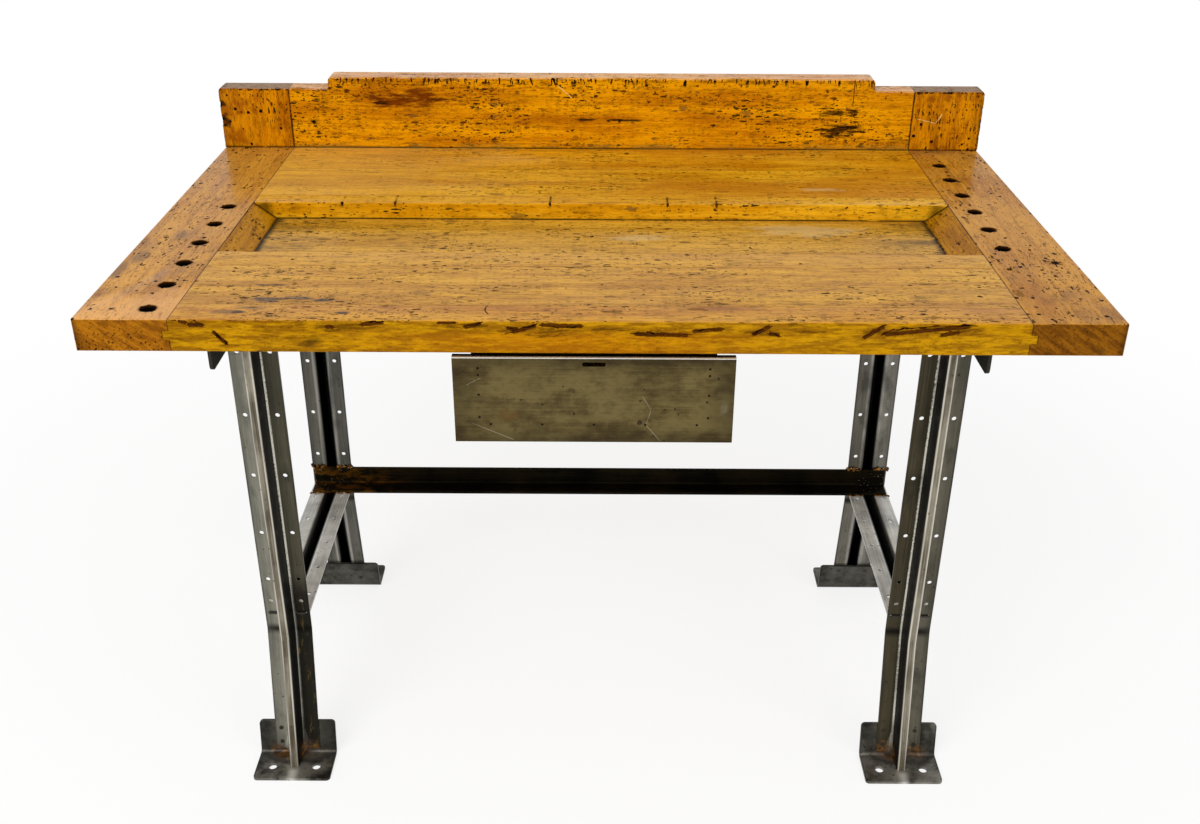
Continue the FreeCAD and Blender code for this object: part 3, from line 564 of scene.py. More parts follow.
def wear_cap(hand, torn):
    """Splintered outer edges, a rounded corner, broken rims of the dog holes, and pits."""
    wear = Wear(f"{hand}_end_cap")
    side = -1 if hand == "left" else 1
    end = side * TOP_END_X
    joint = side * CAP_JOINT_X
    foot = wear.low.z
    wear.along((end, FRONT_Y, TOP_Z), (end, BACK_FACE_Y, TOP_Z), 44, CAP_SPLINTER, 0.05)
    wear.along((end, FRONT_Y, foot), (end, wear.high.y, foot), 22, CAP_SPLINTER, 0.05)
    wear.along((joint, FRONT_Y, TOP_Z), (end, FRONT_Y, TOP_Z), 12, (0.010, 0.004, 0.004))
    wear.along((end, FRONT_Y, foot), (end, FRONT_Y, TOP_Z), 8, (0.006, 0.006, 0.010))
    wear.chip((end, FRONT_Y, TOP_Z), (0.014, 0.014, 0.011))
    for hole in range(1, DOG_HOLE_COUNT + 1):
        x, y, _ = MOUNTS[f"{hand}_dog_hole_{hole}"]["pos_m"]
        for _ in range(4):
            turn = wear.draw.uniform(0.0, math.tau)
            rim = (x + DOG_HOLE_R * math.cos(turn), y + DOG_HOLE_R * math.sin(turn), TOP_Z)
            wear.chip(rim, RIM_CHIP)
    for x, y in CAP_PITS[hand]:
        pit = (wear.draw.uniform(0.003, 0.006), wear.draw.uniform(0.004, 0.009), 0.005)
        wear.chip((x, y, TOP_Z), pit)
    if hand == "right":
        for arm in range(GASH_ARMS):
            turn = math.tau * arm / GASH_ARMS + wear.draw.uniform(-0.3, 0.3)
            reach = wear.draw.uniform(0.004, 0.008)
            place = (GASH[0] + reach * math.cos(turn), GASH[1] + reach * math.sin(turn), TOP_Z)
            wear.chip(place, (2.6 * reach, 0.0035, 0.004), turn, "Z")
    wear.cut(torn)


def wear_wood():
    torn = torn_maple()
    wear_backboard(torn)
    wear_front_board(torn)
    wear_well_edges(torn)
    for hand in ("left", "right"):
        wear_cleat(hand, torn)
        wear_cap(hand, torn)


def weld_runs(side):
    """Lines of weld at one end of the bench, each as its two ends and its thickness."""
    stretcher_low, stretcher_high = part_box("back_stretcher")
    leg_low, leg_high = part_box("rear_right_leg")
    front_leg_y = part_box("front_right_leg")[1].y
    rail_z = leg_high.z
    middle = (leg_low.x + leg_high.x) / 2
    end_x = stretcher_high.x
    face_y = leg_low.y
    lip_y = stretcher_low.y
    flange_root = LEG_ROOT + WELD_GAP
    inner_flange = (middle - LEG_EDGE, middle - flange_root)
    outer_flange = (middle + flange_root, middle + LEG_EDGE)
    runs = [((end_x, face_y, stretcher_low.z), (end_x, face_y, stretcher_high.z), 0.0055)]
    for inner, outer in (inner_flange, outer_flange):
        runs.append(((inner, face_y, stretcher_high.z), (outer, face_y, stretcher_high.z), 0.0105))
        runs.append(((inner, lip_y, stretcher_low.z), (outer, lip_y, stretcher_low.z), 0.0055))
    inner, outer = outer_flange
    for y in (face_y, front_leg_y):
        runs.append(((inner, y, rail_z), (outer, y, rail_z), 0.0065))
    mirror = Vector((side, 1.0, 1.0))
    return [(Vector(begin) * mirror, Vector(end) * mirror, thick) for begin, end, thick in runs]


def build_welds():
    """Lumpy weld metal along each run."""
    draw = random.Random("weld")
    shape = bmesh.new()
    for side in (-1, 1):
        for begin, end, thick in weld_runs(side):
            count = math.ceil((end - begin).length / (0.42 * thick))
            for step in range(count + 1):
                jitter = Vector([draw.gauss(0.0, 0.10 * thick) for _ in range(3)])
                place = begin.lerp(end, step / count) + jitter
                size = Matrix.Scale(thick * draw.uniform(0.8, 1.25), 4)
                ragged_lump(shape, draw, Matrix.Translation(place) @ size)
    welds = solid(shape, "welds")
    welds.data.materials.append(frame["nodes"]["weld_beads"].data.materials[0])
    blend = welds.modifiers.new("blend", "REMESH")
    blend.voxel_size = WELD_GRAIN
    ease = welds.modifiers.new("ease", "SMOOTH")
    ease.iterations = 2
    settle(welds)
    stand_for(welds, "weld_beads")


# Maple


def along_grain(place, grain):
    """The place with its axes in the order along the grain, across it, into the board."""
    if grain == "X":
        return place
    x, y, z = split(place)
    order = {"Y": (y, x, z), "Z": (z, x, y)}[grain]
    return place.node("CombineXYZ", sockets=dict(enumerate(order)))


def growth_rings(wood, seed, heart):
    """Rings round a heart that wanders along the board, so faces show arches and ends show arcs."""
    wander = noise(stretched(wood, (1.4, 4.0, 4.0), seed), detail=1.0)
    _, across, deep = split(wood)
    aside = across - heart[0] + (wander - 0.5) * 0.07
    radius = distance(aside, deep - heart[1])
    sockets = {"W": radius * 260.0, "Scale": 1.0, "Detail": 1.5}
    return wood.node("TexNoise", {"noise_dimensions": "1D"}, sockets)


class Face:
    """Where a wooden surface is and which way it faces, shared by the steps of its finish."""

    def __init__(self, start, grain):
        self.place = start.node("TexCoord", output="Object")
        self.x, self.y, self.z = split(self.place)
        nx, ny, nz = split(start.node("NewGeometry", output="Normal"))
        self.up = smooth(nz, 0.5, 0.9)
        self.ahead = smooth(ny, -0.5, -0.9)
        self.end = smooth(abs({"X": nx, "Y": ny, "Z": nz}[grain]), 0.6, 0.9)
        self.wood = along_grain(self.place, grain)


def end_joint(face):
    """Dark line of the joint between boards and cap, which steps round the tongue on the front."""
    drop = TOP_Z - face.z
    in_tongue = smooth(abs(drop - (TONGUE_TOP_DROP + TONGUE_FOOT_DROP) / 2), 0.0074, 0.0070) * face.ahead
    beyond = abs(face.x) - CAP_JOINT_X
    shoulder = near(beyond, 0.0, 0.0016) * (1.0 - in_tongue)
    tip = near(beyond, TONGUE_LENGTH, 0.0016) * in_tongue
    sides = most(near(drop, TONGUE_TOP_DROP, 0.0013), near(drop, TONGUE_FOOT_DROP, 0.0013)) * face.ahead
    return most(shoulder, tip, sides * near(beyond, TONGUE_LENGTH / 2, TONGUE_LENGTH / 2 + 0.001))


def joint_dirt_and_well_shade(node, face):
    """Dark lines where a board meets its neighbours, and painted shade in the well's corners and under
    its front lip.
    """
    low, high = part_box(node)
    lines = [end_joint(face)]
    if "board_" in node or node == "rear_strip":
        for edge in (low.y, high.y):
            if edge not in (FRONT_Y, WELL_FRONT_Y, WELL_BACK_Y):
                lines.append(near(face.y, edge, 0.0011) * face.up * 0.6)
    if node == "front_board_4":
        lines.append(near(face.y, WELL_FRONT_Y, 0.0024) * face.up * 0.55)
    if node == "rear_board_2" or "cap" in node:
        lines.append(near(face.y, BACK_FACE_Y, 0.004) * face.up)
    # Painted shade: dark bands along the well floor's corners and under the front board's lip
    if node == "well_floor":
        lines += [near(face.y, WELL_FRONT_Y, 0.010), near(face.y, WELL_BACK_Y, 0.005)]
        lines.append(near(abs(face.x), CAP_JOINT_X - 0.040, 0.012))
    # Painted shade in the ramps' corners
    if "ramp" in node:
        lines += [near(face.y, WELL_FRONT_Y, 0.005), near(face.y, WELL_BACK_Y, 0.014)]
        lines.append(near(face.z, WELL_FLOOR_Z, 0.004))
    # Painted shade where the rear strip's front face meets the well floor and the ramps
    if node == "rear_strip":
        lines.append(near(face.z, WELL_FLOOR_Z, 0.003) * face.ahead)
        lines.append(near(abs(face.x), CAP_JOINT_X - 0.020, 0.022) * face.ahead * 0.7)
    if "backboard" in node:
        lines.append(near(face.z, TOP_Z, 0.0042))
        lines.append(near(abs(face.x), CAP_JOINT_X, 0.0030))
    return most(*lines)


def hurts(face, seed, amount):
    """Flecks, pits and tool marks, crowded in some places and few in others."""
    crowd = noise(stretched(face.place, (6.0, 14.0, 14.0), seed + 3.0), detail=3.0)
    crowd = 0.18 + smooth(crowd, 0.42, 0.60) * 0.82
    dashes = spots(stretched(face.wood, (62.0, 215.0, 215.0), seed), 0.44 * amount, 0.50)
    specks = spots(stretched(face.wood, (190.0, 330.0, 330.0), seed + 2.0), 0.26 * amount, 0.50)
    pits = spots(stretched(face.wood, (85.0, 110.0, 110.0), seed + 5.0), 0.075 * amount, 0.36)
    ticks = spots(stretched(face.wood, (105.0, 420.0, 420.0), seed + 11.0), 0.5, 0.5)
    curls = hooks(face.wood, (60.0, 150.0, 150.0), seed + 6.0, 0.18 * amount)
    return most(most(dashes, specks, curls * 0.9) * crowd, pits, ticks * 0.45)


def grain_colour(face, light, deep, seed, heart):
    """Bands, streaks, rings and mottling of the wood, and the height of its grain."""
    flow = bent(face.wood, (7.0, 30.0, 30.0), (0.0, 0.014, 0.014), seed)
    rings = growth_rings(flow, seed, heart)
    bands = noise(stretched(flow, (0.9, 32.0, 32.0), seed), detail=3.0)
    streaks = noise(stretched(flow, (5.0, 190.0, 190.0), seed), detail=5.0, roughness=0.65)
    clouds = noise(stretched(face.wood, (3.6, 12.0, 12.0), seed + 5.0), detail=4.0)
    mottle = noise(stretched(flow, (24.0, 90.0, 90.0), seed + 13.0), detail=6.0, roughness=0.70)
    fibres = noise(stretched(flow, (55.0, 800.0, 800.0), seed), detail=2.0)
    brown = tuple(part * value for part, value in zip((0.48, 0.42, 0.4), deep)) + (1.0,)
    tone = bands * 0.34 + streaks * 0.36 + clouds * 0.30
    colour = mix(smooth(tone, 0.41, 0.57), deep, light)
    colour = mix(smooth(mottle, 0.50, 0.70) * 0.56, colour, brown)
    colour = mix(smooth(mottle, 0.47, 0.30) * 0.45, colour, shaded(light, 1.22))
    colour = mix(smooth(streaks, 0.57, 0.70) * 0.30, colour, brown)
    colour = mix(smooth(rings, 0.52, 0.74) * 0.22, colour, brown)
    colour = mix(smooth(fibres, 0.54, 0.70) * 0.30, colour, brown)
    slope = {
        0: face.x * 0.55 + face.z * 0.83,
        1: face.x * 0.83 - face.z * 0.55,
        2: face.y * 6.0,
    }
    slanting = stretched(face.place.node("CombineXYZ", sockets=slope), (150.0, 26.0, 8.0), seed)
    bands_of_end = noise(slanting, detail=4.0, roughness=0.6)
    ends = mix(smooth(bands_of_end * 0.7 + mottle * 0.3, 0.40, 0.60), brown, deep)
    return mix(face.end * 0.96, colour, ends), streaks * 0.2 + fibres * 0.15


def maple(node, grain, light, deep, seed, flecks=1.0, rub=0.0, gloss=0.38, ends=0.75, details=None):
    """Old varnished maple for one board. Details adds marks that only this board has."""
    material, start = new_material(node + "_maple")
    low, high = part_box(node)
    face = Face(start, grain)
    draw = random.Random(node)
    middle = (low.y + high.y) / 2 if grain == "X" else (low.x + high.x) / 2
    heart = (middle + draw.uniform(-0.05, 0.05), low.z - draw.uniform(0.02, 0.08))
    if grain == "Z":
        heart = (middle, low.y - draw.uniform(0.02, 0.08))
    colour, height = grain_colour(face, light, deep, seed, heart)
    colour = mix(face.end * (1.0 - ends), colour, SOOT)

    bare = noise(stretched(face.place, (3.0, 9.0, 3.0), seed + 9.0), detail=4.0)
    colour = mix(face.up * rub * smooth(bare, 0.30, 0.70), colour, RAW_WOOD)
    dirt = noise(stretched(face.wood, (16.0, 48.0, 48.0), seed + 3.0), detail=5.0, roughness=0.65)
    grime = smooth(dirt, 0.54, 0.76) * 0.5
    colour = mix(grime, colour, CHAR)

    hurt = hurts(face, seed, flecks)
    gouged = spots(stretched(face.wood, (24.0, 62.0, 62.0), seed + 8.0), 0.08 * flecks, 0.42)
    colour = mix(gouged * 0.6, colour, srgb(92, 66, 34))
    colour = mix(hurt * 0.92, colour, BRUISE)
    # Dark joints, and painted shade in the well's corners
    seam_and_well_shade = joint_dirt_and_well_shade(node, face) * smooth(dirt, 0.28, 0.44)
    colour = mix(seam_and_well_shade * 0.95, colour, SOOT)
    hurt = most(hurt, gouged * 0.7, seam_and_well_shade * 0.5)
    if details:
        colour, hurt = details(face, colour, hurt, dirt)

    shine = face.up * (1.0 - face.end * 0.8) * gloss
    finish_surface(
        start,
        {
            "Base Color": colour,
            "Roughness": 0.45 + grime * 0.3 + hurt * 0.3,
            "Specular IOR Level": 0.03,
            "Coat Weight": shine * (1.0 - hurt * 0.8),
            "Coat Roughness": 0.20,
            "Normal": bump(height - hurt, 0.0007),
        },
    )
    paint(node, material)


def backboard_marks(face, colour, hurt, dirt):
    """Burnt stains, knocks along the top edge, an old hole and a paler, dirtier foot."""
    ragged = noise(stretched(face.wood, (20.0, 120.0, 120.0), 51.0), detail=4.0, roughness=0.6)
    brown_stains = (((-0.400, 0.960), (0.085, 0.020)), ((-0.370, 0.972), (0.045, 0.016)))
    brown_stain = blots(face.x, face.z, brown_stains, ragged)
    wisps = smooth(ragged, 0.62, 0.46)
    colour = mix(brown_stain * face.ahead * (0.55 + wisps * 0.4), colour, srgb(92, 38, 1))
    black_stains = (
        ((-0.325, 0.962), (0.022, 0.005)),
        ((-0.440, 0.956), (0.020, 0.005)),
        ((0.458, 0.940), (0.034, 0.011)),
        ((0.505, 0.940), (0.016, 0.008)),
        ((0.488, 0.904), (0.050, 0.016)),
        ((0.440, 0.905), (0.030, 0.005)),
        ((0.525, 0.874), (0.014, 0.008)),
    )
    stained = blots(face.x, face.z, black_stains, ragged) * face.ahead
    colour = mix(stained * (0.4 + wisps * 0.5), colour, srgb(50, 27, 6))
    tips = splinters(face, stained, 53.0) * smooth(stained, 0.05, 0.4)
    colour = mix(tips * 0.8, colour, srgb(24, 12, 3))
    dents = spots(stretched(face.wood, (70.0, 150.0, 150.0), 55.0), 0.10, 0.42) * face.ahead
    colour = mix(dents * 0.7, colour, srgb(98, 68, 30))
    pale = stroke(face.x, face.z, (-0.088, 0.992), (-0.058, 0.966), 0.0011) * face.ahead
    colour = mix(pale * 0.8, colour, srgb(226, 196, 120))
    streaks = (((-0.03, 0.923), (0.03, 0.003)), ((0.05, 0.922), (0.06, 0.003)))
    streak = blots(face.x, face.z, streaks, ragged)
    dashes = spots(stretched(face.place, (170.0, 60.0, 46.0), 58.0), 0.62, 0.62)
    below_crest = BACK_CREST_Z - face.z + (ragged - 0.5) * 0.034
    knocks = dashes * smooth(below_crest, 0.020, 0.007) * face.ahead
    smears = noise(stretched(face.wood, (3.0, 26.0, 26.0), 59.0), detail=4.0)
    colour = mix(smooth(smears, 0.52, 0.68) * face.ahead * 0.4, colour, srgb(138, 72, 2))
    colour = mix(face.up * smooth(dirt, 0.66, 0.40) * 0.5, colour, srgb(226, 184, 150))
    under_crest = smooth(face.z, BACK_CREST_Z - 0.014, BACK_CREST_Z - 0.006)
    under_crest = under_crest * smooth(ragged, 0.46, 0.62)
    colour = mix(under_crest * face.ahead * 0.5, colour, srgb(110, 62, 6))
    foot = smooth(face.z, TOP_Z + 0.014, TOP_Z + 0.004) * smooth(dirt, 0.42, 0.62)
    colour = mix(foot * 0.5, colour, srgb(128, 98, 40))
    from_hole = distance(face.x - OLD_HOLE[0], face.z - OLD_HOLE[1])
    old_hole = smooth(from_hole, OLD_HOLE_R + 0.001, OLD_HOLE_R)
    beside_hole = (OLD_HOLE[0] + 0.004, OLD_HOLE[1] + 0.001)
    round_hole = blot(face.x, face.z, beside_hole, (0.013, 0.008), ragged)
    kerf = near(face.x, KERF_X, 0.0012) * smooth(face.z, KERF_FOOT_Z - 0.002, KERF_FOOT_Z)
    deep = most(streak * 0.9, knocks, old_hole, round_hole * 0.5, kerf) * face.ahead
    colour = mix(deep, colour, BRUISE)
    return colour, most(hurt, deep, stained * 0.4)


def cleat_marks(hand, face, colour, hurt, dirt):
    """Clouded upright block: knocks on the left one's outer edge, a pale squiggle on the right one."""
    outer = smooth(abs(face.x), TOP_END_X - 0.022, TOP_END_X - 0.004)
    ragged = noise(stretched(face.place, (70.0, 70.0, 40.0), 57.0), detail=4.0, roughness=0.65)
    stains = noise(stretched(face.place, (34.0, 34.0, 26.0), 60.0), detail=4.0, roughness=0.6)
    colour = mix(smooth(stains, 0.48, 0.66) * face.ahead * 0.7, colour, srgb(128, 62, 3))
    nail_holes = spots(stretched(face.place, (80.0, 80.0, 80.0), 65.0), 0.34, 0.30, 0.03, 0.2)
    nail_holes = nail_holes * face.ahead
    colour = mix(face.up * (0.75 - smooth(ragged, 0.50, 0.64) * 0.5), colour, srgb(160, 135, 110))
    edge = smooth(abs(face.x), TOP_END_X - 0.009, TOP_END_X - 0.001) * smooth(ragged, 0.46, 0.60)
    if hand == "left":
        knocks = (((-0.754, 0.917), (0.011, 0.018)), ((-0.757, 0.952), (0.008, 0.008)))
        edge = most(edge, blots(face.x, face.z, knocks, ragged))
    else:
        bends = ((0.633, 0.928), (0.671, 0.919), (0.682, 0.939), (0.677, 0.925))
        squiggle = line(face.x, face.z, bends, 0.0009)
        colour = mix(squiggle * face.ahead * 0.8, colour, srgb(232, 196, 120))
    crown = smooth(face.z, SHOULDER_Z - 0.007, SHOULDER_Z) * smooth(ragged, 0.44, 0.6) * face.ahead
    dark = most(edge * 0.9, nail_holes, crown * 0.6, outer * dirt * 0.4)
    return mix(dark, colour, BRUISE), most(hurt, edge, nail_holes)


def splinters(face, soft, seed, rise=0.0):
    """Dark, branching lines inside soft stains, climbing to the right where they have a rise."""
    sockets = {0: face.x, 1: face.y, 2: face.z - face.x * rise}
    climbing = face.place.node("CombineXYZ", sockets=sockets)
    flow = bent(climbing, (22.0, 60.0, 60.0), (0.0, 0.016, 0.016), seed)
    fibres = noise(stretched(flow, (34.0, 300.0, 300.0), seed), detail=5.0, roughness=0.7)
    return smooth(fibres + soft * 0.20, 0.64, 0.74)


def front_edge(face, colour, dirt):
    """Mustard to orange front edge, with knots and torn places under its arris."""
    knots = (
        ((-0.588, 0.8555), (0.034, 0.0075)),
        ((-0.355, 0.8535), (0.066, 0.0085)),
        ((-0.385, 0.8490), (0.020, 0.0050)),
        ((-0.190, 0.8560), (0.050, 0.0050)),
        ((-0.120, 0.8500), (0.040, 0.0075)),
        ((-0.070, 0.8470), (0.050, 0.0100)),
        ((0.010, 0.8520), (0.060, 0.0050)),
        ((0.075, 0.8470), (0.036, 0.0085)),
        ((0.232, 0.8480), (0.036, 0.0080)),
        ((0.300, 0.8500), (0.040, 0.0040)),
        ((0.410, 0.8500), (0.050, 0.0070)),
        ((0.470, 0.8555), (0.060, 0.0040)),
        ((0.520, 0.8520), (0.036, 0.0085)),
    )
    ragged = noise(stretched(face.wood, (26.0, 150.0, 150.0), 61.0), detail=4.0, roughness=0.65)
    soft = blots(face.x, face.z, knots, ragged)
    mustard = mix(smooth(ragged, 0.36, 0.62), srgb(180, 130, 0), srgb(116, 76, 0))
    colour = mix(face.ahead * 0.84, colour, mustard)
    orange = near(face.x, -0.05, 0.42) * smooth(face.z, 0.853, 0.838) * face.ahead
    colour = mix(orange * 0.38, colour, srgb(176, 98, 2))
    colour = mix(soft * face.ahead * smooth(ragged, 0.66, 0.44) * 0.4, colour, srgb(112, 62, 2))
    smudge = blot(face.x, face.z, (-0.419, 0.831), (0.022, 0.010), dirt) * face.ahead
    colour = mix(smudge * 0.6, colour, BRUISE)
    return colour, soft


def front_edge_marks(face, colour, hurt, dirt):
    """The front edge with its tears; smudges, two eyes and a curved cut on the board's top."""
    colour, soft = front_edge(face, colour, dirt)
    band = blot(face.x, face.y, (0.175, -0.395), (0.07, 0.016), dirt) * face.up
    colour = mix(band * 0.6, colour, srgb(112, 66, 30))
    rosy = near(face.y, -0.400, 0.016) * smooth(dirt, 0.44, 0.60) * face.up
    colour = mix(rosy * 0.35, colour, srgb(150, 84, 40))
    smudges = (((-0.542, -0.419), (0.030, 0.008)), ((-0.510, -0.404), (0.030, 0.008)))
    smudged = blots(face.x, face.y, smudges, dirt) * face.up
    colour = mix(smudged * 0.55, colour, srgb(78, 62, 50))
    eyes = (((-0.525, -0.420), (0.011, 0.005)), ((-0.373, -0.421), (0.012, 0.005)))
    colour = mix(blots(face.x, face.y, eyes, dirt) * face.up * 0.9, colour, BRUISE)
    bends = ((-0.162, -0.386), (-0.168, -0.397), (-0.168, -0.411), (-0.162, -0.423))
    curved_cut = line(face.x, face.y, bends, 0.0016) * face.up
    scratch = stroke(face.x, face.z, (-0.5555, 0.840), (-0.540, 0.827), 0.0013) * face.ahead
    torn = splinters(face, soft, 63.0, 0.13) * smooth(soft, 0.02, 0.25) * face.ahead
    broken = noise(stretched(face.place, (190.0, 190.0, 420.0), 69.0), detail=4.0, roughness=0.65)
    beside_tears = [stroke(face.x, face.z, tear[0], tear[-1], 0.0052) for tear in FRONT_TEARS]
    beside = most(*beside_tears) * face.ahead
    stained = smooth(beside + broken * 1.6, 1.10, 1.60) * smooth(beside, 0.02, 0.2)
    colour = mix(stained * 0.9, colour, srgb(66, 32, 2))
    deep = most(torn * 0.6, scratch, curved_cut)
    colour = mix(deep * 0.92, colour, srgb(36, 18, 4))
    return colour, most(hurt, deep)


def smudged_board_marks(face, colour, hurt, dirt):
    """Grey-violet smudges at the left of the second board from the front."""
    smudges = (
        ((-0.495, -0.374), (0.040, 0.014)),
        ((-0.450, -0.367), (0.030, 0.010)),
        ((-0.413, -0.376), (0.026, 0.008)),
        ((-0.503, -0.314), (0.030, 0.005)),
    )
    soft = blots(face.x, face.y, smudges, dirt) * face.up
    torn = splinters(face, soft, 67.0) * smooth(soft, 0.05, 0.4)
    colour = mix(soft * 0.6, colour, srgb(84, 66, 52))
    return mix(torn * 0.9, colour, srgb(36, 28, 26)), hurt


def well_floor_marks(face, colour, hurt, dirt):
    """Pale rubbed places and grey dirt towards the ends of the well."""
    pale_areas = (((0.35, 0.025), (0.12, 0.035)), ((0.07, -0.02), (0.07, 0.02)))
    pale = blots(face.x, face.y, pale_areas, dirt)
    colour = mix(pale * face.up * 0.5, colour, srgb(206, 176, 122))
    sooty = smooth(abs(face.x), 0.42, 0.58) * smooth(dirt, 0.40, 0.62) * face.up
    return mix(sooty * 0.55, colour, srgb(74, 58, 34)), hurt


def rear_board_marks(face, colour, hurt, dirt):
    """Paler to the left, orange patches to the right, and one rubbed place."""
    clouds = noise(stretched(face.place, (4.0, 11.0, 4.0), 79.0), detail=4.0)
    left = smooth(face.x + (clouds - 0.5) * 0.9, -0.10, -0.45) * face.up
    colour = mix(left * 0.35, colour, srgb(224, 172, 90))
    right = smooth(face.x + (clouds - 0.5) * 1.4, -0.10, 0.25) * face.up
    colour = mix(right * smooth(clouds, 0.42, 0.58) * 0.5, colour, srgb(184, 112, 2))
    pale = blot(face.x, face.y, (0.405, 0.159), (0.05, 0.012), dirt) * face.up
    return mix(pale * 0.5, colour, srgb(206, 170, 120)), hurt


def rear_strip_marks(face, colour, hurt, dirt):
    """Nicks over the well's rear edge."""
    nicks = most(*[near(face.x, x, 0.0035) for x in WELL_NICKS])
    deep = nicks * smooth(face.z, TOP_Z - 0.012, TOP_Z - 0.004) * smooth(dirt, 0.38, 0.55)
    return mix(deep * 0.9, colour, BRUISE), most(hurt, deep)


def dog_hole_row(hand, face):
    """Distance from the nearest bench-dog hole of one cap, and 1 within the row's length."""
    first = MOUNTS[f"{hand}_dog_hole_1"]["pos_m"]
    along = face.y - (first[1] - DOG_HOLE_PITCH / 2)
    nearest = along.maths("WRAP", along, DOG_HOLE_PITCH, 0.0) - DOG_HOLE_PITCH / 2
    half_row = DOG_HOLE_PITCH * DOG_HOLE_COUNT / 2
    in_row = smooth(near(along, half_row, half_row), 0.0, 0.001)
    return distance(face.x - first[0], nearest), in_row


def cap_marks(hand, face, colour, hurt, dirt):
    """Purple-brown clouds, pits, dark rims round the dog holes and painted shade inside them; the left
    cap has smudges and a painted reflection at its front, the right a gash.
    """
    away, in_row = dog_hole_row(hand, face)
    clouds = noise(stretched(face.place, (9.0, 7.0, 9.0), 71.0), detail=5.0, roughness=0.6)
    colour = mix(smooth(clouds, 0.50, 0.72) * face.up * 0.55, colour, srgb(104, 66, 42))
    pits = spots(stretched(face.place, (95.0, 95.0, 95.0), 73.0), 0.12, 0.42)
    nail_holes = spots(stretched(face.place, (62.0, 62.0, 62.0), 77.0), 0.22, 0.26, 0.03, 0.12)
    pits = most(pits, nail_holes) * face.up
    if hand == "left":
        smudges = (
            ((-0.737, -0.196), (0.020, 0.05)),
            ((-0.752, -0.255), (0.014, 0.04)),
            ((-0.700, -0.10), (0.02, 0.04)),
        )
        soft = blots(face.x, face.y, smudges, clouds) * face.up
        colour = mix(soft * 0.6, colour, srgb(82, 56, 42))
        # Painted reflection: the top of the left cap paler towards its front
        pale_areas = smooth(face.y + (clouds - 0.5) * 0.3, -0.30, -0.40) * face.up
        colour = mix(pale_areas * 0.4, colour, srgb(238, 178, 116))
    else:
        arms = (
            (0.012, 0.006),
            (0.003, 0.017),
            (-0.010, 0.008),
            (-0.012, -0.004),
            (-0.002, -0.018),
            (0.010, -0.009),
        )
        tips = [(GASH[0] + u, GASH[1] + v) for u, v in arms]
        cuts = [stroke(face.x, face.y, GASH, tip, 0.0017) for tip in tips]
        gash = most(blot(face.x, face.y, GASH, (0.007, 0.010), clouds), *cuts)
        crowded = spots(stretched(face.place, (130.0, 130.0, 130.0), 75.0), 0.4, 0.45)
        crowded = crowded * blot(face.x, face.y, (0.712, -0.225), (0.04, 0.075), clouds)
        pits = most(pits, most(gash, crowded) * face.up)
    rim = smooth(away, DOG_HOLE_R + 0.004, DOG_HOLE_R) * in_row * smooth(dirt, 0.36, 0.56)
    corners = smooth(abs(face.x), TOP_END_X - 0.014, TOP_END_X - 0.002) * face.ahead
    colour = mix(most(pits, rim * 0.75, corners * 0.55), colour, BRUISE)
    # Painted shade: the dog holes' walls near-black below the rim, darker with depth
    inside = smooth(away, DOG_HOLE_R + 0.002, DOG_HOLE_R + 0.001) * in_row
    inside = inside * smooth(face.z, TOP_Z - 0.0003, TOP_Z - 0.0020)
    depth = smooth(face.z, TOP_Z - 0.0005, TOP_Z - 0.0060)
    colour = mix(inside, colour, mix(depth, srgb(52, 30, 10), srgb(3, 2, 1)))
    return colour, most(hurt, pits, rim * 0.5, inside)


def wooden_finishes():
    # Name, light and deep colour, seed, amount of flecks, how rubbed it is, and its own marks
    boards = (
        ("front_board_1", (212, 150, 32), (174, 110, 12), 3.0, 1.2, 0.30, front_edge_marks),
        ("front_board_2", (214, 156, 40), (176, 118, 20), 6.0, 1.2, 0.25, smudged_board_marks),
        ("front_board_3", (214, 156, 40), (176, 118, 20), 9.0, 1.0, 0.22, None),
        ("front_board_4", (214, 156, 40), (176, 118, 20), 12.0, 0.8, 0.22, None),
        ("rear_strip", (232, 172, 34), (204, 138, 12), 17.0, 0.6, 0.32, rear_strip_marks),
        ("rear_board_1", (230, 168, 30), (184, 120, 8), 21.0, 1.0, 0.15, rear_board_marks),
        ("rear_board_2", (228, 164, 28), (182, 118, 6), 25.0, 1.0, 0.15, rear_board_marks),
        ("well_floor", (216, 160, 48), (174, 122, 24), 29.0, 1.0, 0.15, well_floor_marks),
        ("backboard", (232, 156, 4), (188, 114, 1), 49.0, 1.35, 0.0, backboard_marks),
    )
    for node, light, deep, seed, flecks, rub, details in boards:
        maple(node, "X", srgb(*light), srgb(*deep), seed, flecks, rub, details=details)
    for i, hand in enumerate(("left", "right")):
        light = srgb(192, 132, 20)
        deep = srgb(156, 100, 8)
        maple(f"{hand}_well_ramp", "Y", light, deep, 33.0 + i, flecks=0.7, gloss=0.25)
        light = srgb(204, 140, 40)
        deep = srgb(164, 102, 20)
        gloss = 0.40 - 0.14 * i
        ends = 0.95 - 0.35 * i
        marks = partial(cap_marks, hand)
        maple(f"{hand}_end_cap", "Y", light, deep, 37.0 + i, 0.7, 0.30, gloss, ends, marks)
        light = srgb(206, 130, 4)
        deep = srgb(160, 92, 1)
        marks = partial(cleat_marks, hand)
        maple(f"{hand}_backboard_cleat", "Z", light, deep, 43.0 + i, ends=0.5, details=marks)


# Steel


